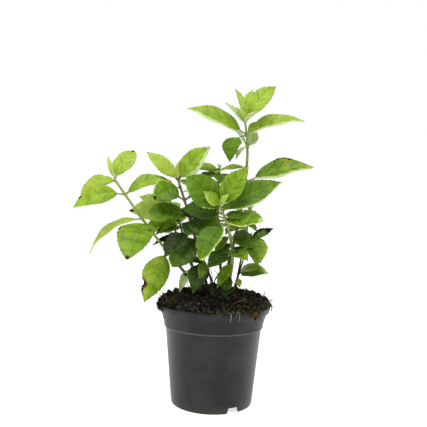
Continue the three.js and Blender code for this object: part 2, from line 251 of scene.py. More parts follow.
LEFT_LEAVES = [
    Leaf(1, 52, 49, 41, 0.46, 34, 0.1, 2.8, tip=0.75, marks=(Mark("spot", 0.97, 0.3, 2.2, 1.6),)),
    Leaf(1, 120, 48, 33, 0.16, -50, 0.05, 0.5),
    Leaf(0.99, 158, -27, 49, 0.4, -46, 0.2, 2.4, stalk=0.04),
    Leaf(
        0.9, 196, -15, 54, 0.4, -60, 0.24, 3.7, stalk=0.16, lean=0.5,
        marks=(Mark("spot", 0.8, -0.75, 2.6, 1),),
    ),
    Leaf(0.9, 25, 17, 53, 0.35, 36, 0.17, 3.8, stalk=0.06, lean=0.5),
    Leaf(0.735, 182, -35, 65, 0.38, -18, 0.13, 0.7),
    Leaf(
        0.685, 255, -31, 58, 0.61, -8, 0.12, 5.1, tip=0.75, stalk=0.02, fade=-0.2, lean=0.5,
        marks=(
            Mark("spot", 0.34, 0.62, 1.8, 1.8), Mark("spot", 0.5, -1, 3.4, 1.3),
            Mark("spot", 0.98, 0, 2, 2), Mark("spot", 0.62, -1, 2, 0.8),
        ),
    ),
    Leaf(
        0.47, 222, -62, 58, 0.47, -46, 0.05, 4.3, fade=-0.5, lean=2.2,
        marks=(
            Mark("bite", 0.66, -1, 4, 0.3), Mark("scorch", 0.67, -0.9, 5, 3),
            Mark("char", 0.79, -1, 5, 1.4),
        ),
    ),
]
LEFT_INNER = [
    Leaf(1, 84, 64, 27, 0.42, 0, 0.05, 2.0),
    Leaf(0.985, 172, -6, 24, 0.5, -50, 0.1, 2.4),
]
MIDDLE_LEAVES = [
    Leaf(1, 168, 40, 46, 0.38, -50, 0.05, 2.5),
    Leaf(1, 349, 48, 49, 0.55, 66, 0.05, 4.3, marks=(Mark("pale", 0.5, -1, 22, 3.6),)),
    Leaf(
        0.93, 222, -20, 36, 0.73, -50, 0.12, 6.4, tip=0.75, stalk=0.18, lean=1.2,
        marks=(Mark("rim", 0.6, -1, 18, 0.7), Mark("spot", 0.97, 0, 2.6, 2)),
    ),
    Leaf(0.64, 207, 6, 46, 0.46, -46, 0.08, 7.5, tip=0.7),
    Leaf(0.62, 318, -22, 48, 0.68, 34, 0.14, 8.0, lean=-1.5),
    Leaf(
        0.45, 237, -34, 48, 0.56, -38, 0.1, 9.1, tip=0.65, fade=-1.4, lean=0.8,
        marks=(Mark("rim", 0.8, -1, 16, 0.6),),
    ),
    Leaf(
        0.52, 233, -30, 51, 0.44, -20, 0.1, 11.8, stalk=0.3, lean=-0.8,
        marks=(Mark("char", 0.6, -1, 16, 1.2),),
    ),
]
MIDDLE_INNER = [
    Leaf(1, 84, 74, 22, 0.42, 0, 0.05, 2.6),
    Leaf(1, 330, -22, 14, 0.75, 20, 0.1, 4.5),
    Leaf(0.6, 262, -40, 24, 0.6, 0, 0.1, 9.2),
]
SLIM_LEAVES = [
    Leaf(1, 190, 3, 52, 0.56, -60, 0.1, 0.8, lean=1.0, marks=(Mark("spot", 0.95, 0.4, 2.6, 1.8),)),
    Leaf(0.8, 222, -10, 34, 0.42, -30, 0.1, 6.2, marks=(Mark("char", 0.8, -1, 10, 1.6),)),
    Leaf(0.64, 200, -10, 35, 0.28, -30, 0.08, 11, curl=0.5, marks=(Mark("char", 0.7, 0, 20, 12),)),
]
SLIM_INNER = [
    Leaf(0.99, 182, 24, 46, 0.46, -60, 0.1, 1.0),
    Leaf(0.9, 200, -14, 40, 0.5, -50, 0.1, 4.6),
]
RIGHT_LEAVES = [
    Leaf(
        1, 18, 24, 29, 0.36, 50, 0.02, 7.0,
        marks=(
            Mark("scorch", 0.84, 0, 5, 3), Mark("char", 0.55, 1, 17, 2.4),
            Mark("char", 0.97, 0, 8, 5), Mark("char", 0.72, -1, 4, 0.8),
        ),
    ),
    Leaf(1, 287, -32, 40, 0.62, 0, 0.12, 5.6, lean=-2.2, marks=(Mark("pale", 0.5, 1, 10, 1),)),
    Leaf(0.78, 84, 2, 34, 0.46, 0, 0.1, 7.5),
    Leaf(
        0.42, 322, 6, 38, 0.5, 42, 0.1, 5.6, lean=-3.2,
        marks=(Mark("pale", 0.55, 1, 18, 1.8), Mark("pale", 1, 0, 5, 3)),
    ),
    Leaf(0.31, 285, -40, 12, 0.66, 10, 0.1, 2.2),
]
RIGHT_INNER = [
    Leaf(0.86, 320, -50, 24, 0.5, 10, 0.1, 5.5),
    Leaf(0.46, 328, 12, 24, 0.5, 45, 0.1, 6, bloom="both"),
]
SPRIG_LEAVES = [
    Leaf(1, 264, -44, 29, 0.36, -6, 0.16, 7.4, lean=1.2),
    Leaf(0.93, 246, -48, 39, 0.56, -14, 0.14, 11.2, lean=0.8),
    Leaf(
        1, 205, -50, 42, 0.26, -30, 0.2, 6.4, stalk=0.38, bloom="both",
        marks=(Mark("spot", 0.3, -0.3, 2, 2),),
    ),
]
SPRIG_INNER = [
    Leaf(0.97, 190, 4, 18, 0.55, -40, 0.1, 10.4),
    Leaf(
        0.28, 279, -18, 35, 0.42, 0, 0.02, 12, lean=-1.5,
        marks=(Mark("char", 0.3, 0.6, 9, 3), Mark("char", 0.75, 0.4, 8, 3)),
    ),
]
BACK_LEAVES = [
    Leaf(1, 195, 4, 34, 0.46, -40, 0.05, 5.2, lean=2.2),
    Leaf(0.97, 290, -24, 38, 0.6, 10, 0.05, 7.0),
]
BACK_INNER = [Leaf(0.96, 215, -16, 30, 0.6, -20, 0.1, 7.6)]

SHOOTS = [
    Shoot(
        "tall", (7, 11), (29, 19, 226), (27, 12, 298), 0.12, 1, "young_leaf", 4.4,
        TALL_LEAVES, Pairs(55, 0.44, 3, 34, 4, 7, 7.0), inner=TALL_INNER,
    ),
    Shoot(
        "centre", (11, -4), (17, -14, 162), (2, -30, 210), 0.3, 1, "grown_leaf", 6.2,
        CENTRE_LEAVES, inner=CENTRE_INNER,
    ),
    Shoot(
        "left", (-10, -8), (-54, -14, 164), (-106, -20, 233), 0.26, 1, "grown_leaf", 5.0,
        LEFT_LEAVES, inner=LEFT_INNER,
    ),
    Shoot(
        "middle", (-7, 2), (-24, 0, 180), (-42, -4, 234), 0.34, 1, "grown_leaf", 2.2,
        MIDDLE_LEAVES, Pairs(40, 0.8, 4, 42, 10, 10, 7.0), inner=MIDDLE_INNER,
    ),
    Shoot(
        "slim", (-14, 12), (-31, 12, 160), (-42, 10, 198), 0.24, 0.8, "shaded_leaf", 1.0,
        SLIM_LEAVES, inner=SLIM_INNER,
    ),
    Shoot(
        "right", (20, 8), (27, 8, 141), (36, 5, 174), 0.16, 0.58, "shaded_leaf", -2.5,
        RIGHT_LEAVES, inner=RIGHT_INNER,
    ),
    Shoot(
        "sprig", (0, -3), (-6, -5, 136), (-12, -8, 150), 0.35, 0.8, "shaded_leaf", 0.6,
        SPRIG_LEAVES, inner=SPRIG_INNER,
    ),
    Shoot(
        "back", (10, 22), (2, 42, 180), (2, 58, 248), 0.34, 1, "shaded_leaf", 1.4,
        BACK_LEAVES, Pairs(90, 0.92, 5, 44, 20, 14, 5.0), inner=BACK_INNER,
    ),
    Shoot(
        "back_left", (-11, 24), (-34, 46, 152), (-54, 68, 190), 0.5, 1, "shaded_leaf", 1.2,
        [], Pairs(150, 1, 4, 46, 22, 21, 5.0),
    ),
    Shoot(
        "back_right", (23, 26), (31, 46, 158), (40, 66, 202), 0.5, 0.64, "shaded_leaf", 0.4,
        [], Pairs(0, 1, 4, 44, 22, 22, 5.0),
    ),
]


def linear(code):
    """An sRGB hex colour as linear red, green, blue and alpha."""
    parts = [int(code[i : i + 2], 16) / 255 for i in (1, 3, 5)]
    return tuple(c / 12.92 if c <= 0.04045 else ((c + 0.055) / 1.055) ** 2.4 for c in parts) + (1.0,)


def colour(name, description, code):
    """A colour that a user may change."""
    return FloatVectorProperty(
        name=name, description=description, default=linear(code), size=4, min=0, max=1, subtype="COLOR"
    )


def number(name, description, default, **limits):
    """A value that a user may change."""
    return FloatProperty(name=name, description=description, default=default, **limits)


def length(name, description, default):
    """A size in metres that a user may change."""
    return number(name, description, default, min=0, unit="LENGTH", precision=4)


def count(name, description, default):
    """A number of bits that a user may change."""
    return IntProperty(name=name, description=description, default=default, min=0)


class PotSettings(bpy.types.PropertyGroup):
    """Sizes and colours of the nursery pot."""

    rim_radius: length("Rim radius", "Outer radius of the turned lip", (POT_HIGH.x - POT_LOW.x) / 2)
    rim_height: length("Rim height", "Height of the lip above the ground", POT_HIGH.z)
    lip_depth: length("Lip depth", "Height of the turned lip", 0.0075)
    lip_undercut: length("Lip undercut", "How far the lip stands out from the collar", 0.0026)
    step_height: length("Step height", "Height of the ledge under the collar", 0.0825)
    step_radius: length("Step radius", "Outer radius of the ledge", 0.052)
    step_ledge: length("Step ledge", "Breadth of the ledge", 0.001)
    foot_radius: length("Foot radius", "Outer radius of the foot ring", 0.043)
    foot_ring: length("Foot ring", "Breadth of the foot ring", 0.0026)
    foot_recess: length("Foot recess", "Height of the floor's underside", 0.007)
    floor: length("Floor", "Thickness of the floor", 0.002)
    wall: length("Wall", "Thickness of the wall", 0.0018)
    notch_height: length("Notch height", "Height of the drain notches", 0.006)
    notch_foot: length("Notch foot", "Breadth of a notch at the ground", 0.0155)
    notch_head: length("Notch head", "Breadth of a notch at its top", 0.0115)
    plastic: colour("Plastic", "Colour of the moulded plastic", "#15161a")
    # Dust colour, also used for the painted highlight along the ledge.
    dust_and_highlight: colour("Dust", "Colour of the dust and scuffs", "#56575a")
    stain: colour("Stain", "Colour of the algae at the foot", "#4f5032")


class SoilSettings(bpy.types.PropertyGroup):
    """Make-up and colours of the heaped compost."""

    lump: length("Lump", "Height of the lumps on the heap", 0.0026)
    clods: count("Clods", "Number of larger clods", 420)
    crumbs: count("Crumbs", "Number of loose crumbs", 3000)
    fibres: count("Fibres", "Number of loose fibres", 620)
    moss: count("Moss", "Number of moss blades", 2200)
    peat: colour("Peat", "Colour of the damp peat", "#0d0a07")
    crust: colour("Crust", "Colour of the drier crust", "#231a12")


class LeafSettings(bpy.types.PropertyGroup):
    """Thickness, relief and colours of the leaves."""

    thickness: length("Thickness", "Thickness of a blade", 0.00045)
    quilt: length("Quilt", "Height of the blade between its veins", 0.001)
    tooth_run: length("Tooth run", "Distance between the teeth of a margin", 0.0042)
    tooth_height: length("Tooth height", "Height of the teeth of a margin", 0.0011)
    tip: colour("Tip green", "Colour of the newest leaves", "#adc457")
    young: colour("Young green", "Colour of young leaves", "#93ae32")
    grown: colour("Grown green", "Colour of grown leaves", "#5c7f0a")
    # Shaded and dark greens: partly the leaves' own colour, partly painted shade inside the crown.
    shaded: colour("Shaded green", "Colour of shaded leaves", "#3a590c")
    dark: colour("Dark green", "Colour of the innermost leaves", "#212f0b")
    under: colour("Underside", "Pale bloom of the undersides", "#c6d4a6")
    # Margin colour, also used for painted highlights on edges and a curled tip.
    margin: colour("Margin", "Colour of pale margins", "#b9cc6c")
    straw: colour("Straw", "Colour round a scorched place", "#a89326")
    scorch: colour("Scorch", "Colour of scorched tissue", "#5e3d17")
    char: colour("Char", "Colour of dead tissue", "#140f0a")


class StemSettings(bpy.types.PropertyGroup):
    """Relief and colours of the stems."""

    ridge: length("Ridge", "Height of the ridges of the bark", 0.00016)
    node_swell: length("Node swelling", "Swelling of a stem at a leaf pair", 0.0005)
    stalk: length("Stalk radius", "Radius of a leaf stalk at its foot", 0.00085)
    old: colour("Old bark", "Colour of the oldest bark", "#120d0a")
    ripe: colour("Ripe bark", "Colour of ripened bark", "#3d2d20")
    mid: colour("Ripening bark", "Colour of ripening bark", "#625838")
    green: colour("Green shoot", "Colour of green shoots", "#7c8a44")
    fresh: colour("Fresh shoot", "Colour of the shoot tips and stalks", "#93a654")


# Breadth of the camera's sensor in millimetres, and its focal length as a share of that.
SENSOR = 36
FOCAL_SHARE = 600 / 427


class StageSettings(bpy.types.PropertyGroup):
    """Floor, light and camera."""

    floor: colour("Floor", "Colour of the floor", "#ffffff")
    glow: number("Glow", "Light from under the floor", 0.7, min=0)
    sky: number("Sky", "Strength of the light from the white room", 0.3, min=0)
    key: number("Key", "Power of the overhead soft box", 13.0, min=0, unit="POWER")
    side: number("Side", "Power of each side soft box", 3.0, min=0, unit="POWER")
    distance: length("Distance", "Distance of the camera from the pot's axis", 0.6354)
    height: length("Height", "Height of the camera above the ground", 0.226)
    aside: number("Aside", "Camera's place to the side", -0.0037, unit="LENGTH")
    pitch: number("Pitch", "Angle down", math.radians(2.31), subtype="ANGLE")
    roll: number("Roll", "Tilt of the horizon", math.radians(1.82), subtype="ANGLE")
    lens: number("Lens", "Focal length", SENSOR * FOCAL_SHARE, unit="CAMERA")


def add_node(tree, kind, settings=None, inputs=None):
    """A node with its settings, and with values or links on its inputs."""
    made = tree.nodes.new(kind)
    for name, value in (settings or {}).items():
        setattr(made, name, value)
    for name, source in (inputs or {}).items():
        if isinstance(source, bpy.types.NodeSocket):
            tree.links.new(source, made.inputs[name])
        else:
            made.inputs[name].default_value = source
    return made


def add_noise(tree, spot, grain, detail, rough=0.5):
    """Cloudy noise from 0 to 1 with a grain in millimetres."""
    inputs = {"Vector": spot, "Scale": 1 / (grain * MM), "Detail": detail, "Roughness": rough}
    return add_node(tree, "ShaderNodeTexNoise", inputs=inputs).outputs["Fac"]


def add_range(tree, value, low=0.0, high=1.0, least=0.0, most=1.0):
    """A value carried from the range between low and high to that between least and most."""
    inputs = {"Value": value, "From Min": low, "From Max": high, "To Min": least, "To Max": most}
    return add_node(tree, "ShaderNodeMapRange", inputs=inputs).outputs["Result"]


def add_maths(tree, operation, *values):
    """A value worked out from others."""
    made = add_node(tree, "ShaderNodeMath", {"operation": operation}, dict(enumerate(values)))
    return made.outputs["Value"]


def add_mix(tree, share, first, second):
    """A colour part of the way from one to another."""
    inputs = {"Factor": share, 6: first, 7: second}
    return add_node(tree, "ShaderNodeMix", {"data_type": "RGBA"}, inputs).outputs[2]


def add_bump(tree, shader, height, strength, depth):
    """Fine relief on a shader."""
    bump = add_node(
        tree, "ShaderNodeBump", inputs={"Strength": strength, "Distance": depth, "Height": height}
    )
    tree.links.new(bump.outputs["Normal"], shader.inputs["Normal"])


def new_material(name, **sockets):
    """A material whose shader has these socket values, with its node tree and shader."""
    material = bpy.data.materials.new(name)
    material.use_nodes = True
    shader = material.node_tree.nodes["Principled BSDF"]
    for socket, value in sockets.items():
        shader.inputs[socket.replace("_", " ")].default_value = value
    material.diffuse_color = shader.inputs["Base Color"].default_value
    return material, material.node_tree, shader


def tone_materials(name, colours, rough, sheen, smoother=0.0):
    """A plain material for each tone of a finish, each smoother than the one before it."""
    return [
        new_material(f"{name}_{i}", Base_Color=c, Roughness=rough - smoother * i, Specular_IOR_Level=sheen)[0]
        for i, c in enumerate(colours)
    ]


def mixed(a, b, share):
    """A colour part of the way from one to another."""
    return tuple(x + (y - x) * share for x, y in zip(a, b))


def ramp_colours(anchors, count):
    """Even steps through a list of colours."""
    steps = np.linspace(0, len(anchors) - 1, count)
    lower = np.minimum(steps.astype(int), len(anchors) - 2)
    return [mixed(anchors[i], anchors[i + 1], s - i) for i, s in zip(lower, steps)]


def to_frame(points):
    """Points in millimetres about the pot's axis as metres in the frame."""
    return (np.asarray(points, float) + AXIS) * MM


def place(piece, slot, *nodes):
    """Puts a finished piece on the root body and hides the nodes it stands for; its slot is not used."""
    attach(piece, "root")
    if nodes:
        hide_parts(*nodes)


def link_mesh(name, mesh, materials):
    """An object at the origin for a mesh."""
    for material in materials:
        mesh.materials.append(material)
    made = bpy.data.objects.new(name, mesh)
    bpy.context.scene.collection.objects.link(made)
    return made


class Heap:
    """Many small shapes gathered into one mesh, each face with its tone."""

    def __init__(self):
        self.points = []
        self.faces = []
        self.tones = []
        self.smooth = []
        self.count = 0

    def add(self, points, faces, tones, smooth):
        """Adds a shape: its points, its faces by the points' numbers, and a tone and shading for each."""
        self.points.append(np.asarray(points, float).reshape(-1, 3))
        self.faces += [[int(k) + self.count for k in f] for f in faces]
        self.tones += [int(t) for t in tones]
        self.smooth += [bool(s) for s in smooth]
        self.count += len(self.points[-1])

    def piece(self, name, materials):
        """The gathered shapes as one object."""
        mesh = bpy.data.meshes.new(name)
        mesh.from_pydata(to_frame(np.concatenate(self.points)).tolist(), [], self.faces)
        made = link_mesh(name, mesh, materials)
        mesh.polygons.foreach_set("material_index", self.tones)
        mesh.polygons.foreach_set("use_smooth", self.smooth)
        mesh.update()
        return made


def line_points(shoot, shares):
    """Points of a shoot's line at shares of its length, in millimetres."""
    return bent_line((*shoot.foot, SOIL_TOP + STEM_GAP), shoot.half, shoot.tip, shares)


def bent_line(foot, half, tip, shares):
    """Points of an even bend through three places, at shares of its length."""
    foot, half, tip = (np.array(p, float) for p in (foot, half, tip))
    bend = 2 * half - (foot + tip) / 2
    t = np.asarray(shares, float)[..., None]
    return (1 - t) ** 2 * foot + 2 * t * (1 - t) * bend + t * t * tip


def line_length(shoot):
    """Length of a shoot's line."""
    points = line_points(shoot, np.linspace(0, 1, 60))
    return float(np.linalg.norm(np.diff(points, axis=0), axis=1).sum())


def leaf_axes(leaf):
    """Directions along a leaf's midrib, up from its face and across its blade."""
    turn, rise, roll = (math.radians(a) for a in (leaf.turn, leaf.rise, leaf.roll))
    along = np.array((math.cos(turn) * math.cos(rise), math.sin(turn) * math.cos(rise), math.sin(rise)))
    up = np.array((-math.cos(turn) * math.sin(rise), -math.sin(turn) * math.sin(rise), math.cos(rise)))
    up = up * math.cos(roll) + np.cross(along, up) * math.sin(roll)
    return along, up, np.cross(up, along)


def half_breadth(leaf, share):
    """Half breadth of a blade at shares of its length."""
    share = np.clip(share, 0, 1)
    shape = (share / WIDEST) ** BASE_POWER * ((1 - share) / (1 - WIDEST)) ** leaf.tip
    return 0.5 * leaf.broad * leaf.long * shape


def leaf_points(root, leaf, share, side, half, height):
    """Points on a leaf: shares along and across its blade, half breadths and heights off its surface."""
    along, up, across = leaf_axes(leaf)
    stalk = leaf.stalk * leaf.long
    reach = stalk + (leaf.long - stalk) * share
    bow = 4 * leaf.arch * reach * (1 - reach / leaf.long)
    lift = bow + LEAF_FOLD * half * np.abs(side) + height
    return root + reach[..., None] * along + (half * side)[..., None] * across + lift[..., None] * up


def leaf_sample(root, leaf):
    """An even sample of a leaf's middle surface."""
    share, side = np.meshgrid(np.linspace(0, 1, 13), np.linspace(-1, 1, 7), indexing="ij")
    return leaf_points(root, leaf, share, side, half_breadth(leaf, share), 0 * share).reshape(-1, 3)


def nearest(points, others):
    """Least distance between two sets of points."""
    return np.linalg.norm(points[:, None] - others[None], axis=2).min()


def draws_from(seed):
    """Steady draws between 0 and 1."""
    state = seed
    while True:
        state = state * 16807 % 2147483647
        yield state / 2147483647


def has_room(shoot, root, sample, lines, taken):
    """Whether a leaf stays in the crown, clear of the other leaves and the other shoots."""
    if np.linalg.norm((sample[-1] - CROWN_MIDDLE) / CROWN_REACH) >= 1:
        return False
    outer = sample[np.linalg.norm(sample - root, axis=1) > OWN_ROOM]
    for name, line in lines.items():
        if name != shoot.name and nearest(outer, line) < CLEAR:
            return False
    return all(nearest(outer, other) >= CLEAR for other in taken)


def grow_pairs(shoot, lines, taken):
    """Leaf pairs of a shoot, each a quarter turn round from the pair above and swung aside for room."""
    rule = shoot.pairs
    draw = draws_from(rule.seed)
    for i in range(rule.count):
        for opposite in (0, 180):
            bearing = rule.turn + 90 * i + opposite + 24 * (next(draw) - 0.5)
            slope = rule.rise - PAIR_DROOP * i + 16 * (next(draw) - 0.5)
            size = rule.long * (0.85 + 0.1 * min(i, 2)) * (0.9 + 0.2 * next(draw))
            roll = 24 * (next(draw) - 0.5)
            share = rule.at - PAIR_STEP * i
            root = line_points(shoot, share)
            for swing in SWINGS:
                leaf = Leaf(share, bearing + swing, slope, size, PAIR_BREADTH, roll, PAIR_ARCH)
                # Each lower pair darker, partly older leaves and partly painted shade.
                leaf.tone = rule.tone + 0.4 * i
                sample = leaf_sample(root, leaf)
                if has_room(shoot, root, sample, lines, taken):
                    shoot.leaves.append(leaf)
                    taken.append(sample)
                    break


def grow_shrub():
    """Adds to each shoot the leaf pairs that it grows by rule."""
    lines = {s.name: line_points(s, np.linspace(0, 1, 60)) for s in SHOOTS}
    taken = [leaf_sample(line_points(s, leaf.at), leaf) for s in SHOOTS for leaf in s.leaves]
    for shoot in SHOOTS:
        if shoot.pairs:
            grow_pairs(shoot, lines, taken)


def smooth_step(value, low, high):
    """A soft step from 0 at low to 1 at high."""
    t = np.clip((value - low) / (high - low), 0, 1)
    return t * t * (3 - 2 * t)


def toothed(leaf, share, side, look, rng):
    """Half breadth of a blade with its teeth and bites."""
    half = half_breadth(leaf, share)
    count = max(4, round(leaf.long * MM / look.tooth_run))
    start = np.where(side < 0, *rng.random(2))
    saw = ((share * count + start) % 1) ** TOOTH_POWER
    height = look.tooth_height / MM * min(1, leaf.long / 40)
    half = half + height * (saw - 0.4) * smooth_step(share, 0.06, 0.2) * smooth_step(1 - share, 0.02, 0.12)
    for mark in leaf.marks:
        if mark.kind == "bite":
            near = np.exp(-(((share - mark.share) * leaf.long / mark.along) ** 2))
            half = half * (1 - mark.across * near * (side * mark.side > 0))
    return np.maximum(LEAF_END, half)


def vein_phase(share, side):
    """Count of side veins passed from the base: whole numbers lie on a vein."""
    bend = VEIN_BEND * np.abs(side) ** 1.3
    along = (share - bend) / (1 - bend)
    return VEIN_PAIRS * np.sign(along) * np.abs(along) ** 0.9


def blade_relief(leaf, share, side, half, look, rng):
    """Height of the blade's quilting, waves and curl off the plain folded leaf."""
    away = np.abs(side)
    bulge = np.abs(np.sin(math.pi * vein_phase(share, side))) ** 0.7
    quilt = look.quilt / MM * min(1, leaf.long / 45)
    quilted = quilt * bulge * smooth_step(away, 0, 0.2) * smooth_step(1 - away, 0, 0.25)
    phase = np.where(side < 0, *(2 * math.pi * rng.random(2)))
    wave = WAVE_HEIGHT * half * away**2 * np.sin(2 * math.pi * WAVES * share + phase)
    curl = (leaf.curl + 0.12 * (rng.random() - 0.6)) * half * away**3
    soften = LEAF_FOLD * half * (np.sqrt(side**2 + 0.012) - 0.11 - away)
    droop = -TIP_DROOP * leaf.long * np.maximum(0, share - DROOP_FROM) ** 2
    return quilted + wave + curl + soften + droop


# Tones of a leaf piece: the greens from light to dark, the darker ones partly painted shade, undersides,
# margins that also give painted highlights, then damage.
GREENS = 13
UNDERS = 6
UNDER = GREENS
MARGIN_AND_HIGHLIGHT = UNDER + UNDERS
MARGIN_AND_HIGHLIGHT_STEPS = 3
STRAW = MARGIN_AND_HIGHLIGHT + MARGIN_AND_HIGHLIGHT_STEPS
TAN = STRAW + 1
BROWN = STRAW + 2
CHAR = STRAW + 3


def centre(values):
    """Values at the middles of a grid's cells."""
    return (values[:-1, :-1] + values[1:, :-1] + values[:-1, 1:] + values[1:, 1:]) / 4


def upper_tones(leaf, share, side, half, rng):
    """Tone of each cell of a leaf's upper face."""
    phase = vein_phase(share, side)
    to_vein = np.abs(phase - np.round(phase))
    vein = np.exp(-((to_vein / 0.11) ** 2)) * smooth_step(1 - np.abs(side), 0, 0.3)
    rib = np.exp(-((side * half / 0.7) ** 2))
    a, b, c = 2 * math.pi * rng.random(3)
    mottle = np.sin(7 * share + 3 * side + a) * np.sin(11 * share - 4 * side + b) + np.sin(17 * share + c) / 2
    # The lean paints light on one half of the blade and shade on the other.
    level = leaf.tone + 2 * leaf.fade * (share - 0.45) + leaf.lean * side
    # Veins darker: painted shade in their impressed grooves.
    level = level + VEIN_SHADE * vein + MOTTLE_SHIFT * mottle - RIB_SHIFT * rib
    level = level + CELL_SHIFT * (rng.random(share.shape) - 0.5)
    return np.clip(np.round(level), 0, GREENS - 1).astype(int)


def marked(tones, leaf, share, side, half, rng):
    """Tones with the leaf's painted sheen, pale margins with painted highlights, and scorched places laid
    over them.
    """
    layers = {
        # Pale: painted sheen, the white floor's reflection on the lower half of a blade, laid in underside
        # tones.
        "pale": ((1.1, UNDER + 2), (0.8, UNDER + 1)),
        # Rim: pale margin, partly the blade's own colour and partly painted highlight where an edge catches
        # the light.
        "rim": ((1.3, MARGIN_AND_HIGHLIGHT + 2), (0.9, MARGIN_AND_HIGHLIGHT + 1), (0.5, MARGIN_AND_HIGHLIGHT)),
        "fleck": ((1.0, STRAW), (0.4, TAN)),
        "scorch": ((1.2, TAN), (0.95, BROWN), (0.6, CHAR)),
        "spot": ((1.1, TAN), (0.95, BROWN), (0.75, CHAR)),
        "char": ((1.3, GREENS - 1), (1.0, CHAR)),
    }
    for mark in leaf.marks:
        if mark.kind not in layers:
            continue
        dx = (share - mark.share) * leaf.long / mark.along
        dy = (side - mark.side) * half / mark.across
        reach = np.hypot(dx, dy) * (1 + 0.35 * (rng.random(share.shape) - 0.5))
        for limit, tone in layers[mark.kind]:
            tones = np.where(reach < limit, tone, tones)
    return tones


def under_tones(leaf, share, side, half, rng):
    """Tone of each cell of a leaf's underside."""
    phase = vein_phase(share, side)
    vein = np.exp(-(((phase - np.round(phase)) / 0.1) ** 2))
    # Darker for a darker leaf, carrying the leaf's partly painted shade to its underside.
    level = 0.4 + 0.42 * leaf.tone - 0.7 * vein + 0.8 * (rng.random(share.shape) - 0.5)
    return UNDER + np.clip(np.round(level), 0, UNDERS - 1).astype(int)


# Tones of the two faces of a leaf by where its pale bloom lies.
FACES = {
    "under": (upper_tones, under_tones),
    "both": (under_tones, under_tones),
    "none": (upper_tones, upper_tones),
}


def add_blade(heap, root, leaf, look, rng):
    """A leaf's blade as a thin closed sheet with its outline, quilting and tones."""
    rows = int(np.clip(leaf.long / GRAIN, 10, 56))
    cols = 2 * int(np.clip(leaf.broad * leaf.long / (2 * GRAIN), 3, 12))
    share, side = np.meshgrid(np.linspace(0, 1, rows + 1), np.linspace(-1, 1, cols + 1), indexing="ij")
    half = toothed(leaf, share, side, look, rng)
    height = blade_relief(leaf, share, side, half, look, rng)
    skin = look.thickness / MM / 2
    rib = RIB_HEIGHT * (1 - share) * np.exp(-((side * half / RIB_HALF) ** 2))
    top = leaf_points(root, leaf, share, side, half, height + skin)
    low = leaf_points(root, leaf, share, side, half, height - skin - rib)
    number = np.arange(share.size).reshape(share.shape)
    below = number + share.size
    a, b, c, d = number[:-1, :-1], number[1:, :-1], number[1:, 1:], number[:-1, 1:]
    faces = np.stack((a, b, c, d), -1).reshape(-1, 4).tolist()
    faces += (np.stack((a, d, c, b), -1).reshape(-1, 4) + share.size).tolist()
    ring = [(number[i, 0], below[i, 0], below[i + 1, 0], number[i + 1, 0]) for i in range(rows)]
    ring += [(number[i, -1], number[i + 1, -1], below[i + 1, -1], below[i, -1]) for i in range(rows)]
    ring += [(number[0, j], number[0, j + 1], below[0, j + 1], below[0, j]) for j in range(cols)]
    ring += [(number[-1, j], below[-1, j], below[-1, j + 1], number[-1, j + 1]) for j in range(cols)]
    cells = (centre(share), centre(side), centre(half))
    face, back = FACES[leaf.bloom]
    upper = marked(face(leaf, *cells, rng), leaf, *cells, rng)
    under = marked(back(leaf, *cells, rng), leaf, *cells, rng)
    rims = [*upper[:, 0], *upper[:, -1], *upper[0], *upper[-1]]
    tones = [*upper.ravel(), *under.ravel(), *rims]
    points = np.concatenate((top.reshape(-1, 3), low.reshape(-1, 3)))
    heap.add(points, faces + ring, tones, [True] * (2 * upper.size) + [False] * len(ring))


def ring_axes(path):
    """Directions round a line at each of its points, carried along without twist."""
    ways = np.gradient(path, axis=0)
    ways /= np.linalg.norm(ways, axis=1)[:, None]
    first = np.cross(ways[0], (0.0, 1.0, 0.0) if abs(ways[0][1]) < 0.9 else (1.0, 0.0, 0.0))
    normals = [first / np.linalg.norm(first)]
    for way in ways[1:]:
        moved = normals[-1] - way * (normals[-1] @ way)
        normals.append(moved / np.linalg.norm(moved))
    normals = np.array(normals)
    return normals, np.cross(ways, normals)


def add_tube(heap, path, radii, sides, tones):
    """A tube along a line, with radii by ring, or by ring and side, and tones by band and side."""
    radii = np.broadcast_to(np.asarray(radii, float).reshape(len(path), -1), (len(path), sides))
    first, second = ring_axes(path)
    turn = 2 * math.pi * np.arange(sides) / sides
    spokes = np.cos(turn)[None, :, None] * first[:, None] + np.sin(turn)[None, :, None] * second[:, None]
    points = path[:, None] + radii[..., None] * spokes
    number = np.arange(len(path) * sides).reshape(-1, sides)
    after = np.roll(number, -1, axis=1)
    bands = np.stack((number[:-1], after[:-1], after[1:], number[1:]), -1).reshape(-1, 4).tolist()
    tones = np.broadcast_to(tones, (len(path) - 1, sides)).ravel()
    caps = [number[0][::-1].tolist(), number[-1].tolist()]
    heap.add(points, bands + caps, [*tones, tones[0], tones[-1]], [True] * len(bands) + [False] * 2)


# Bark: number of tones from old to fresh, how many a shoot runs through, and how they scatter.
BARKS = 11
BARK_RUN = 5.5
BARK_POWER = 0.8
BARK_SCATTER = 0.55

# Sides and rings of the round parts.
LIMB_SIDES = 14
STALK_SIDES = 8
STALK_RINGS = 9
BUD_SIDES = 7
TWIG_SIDES = 6
TWIG_RINGS = 20


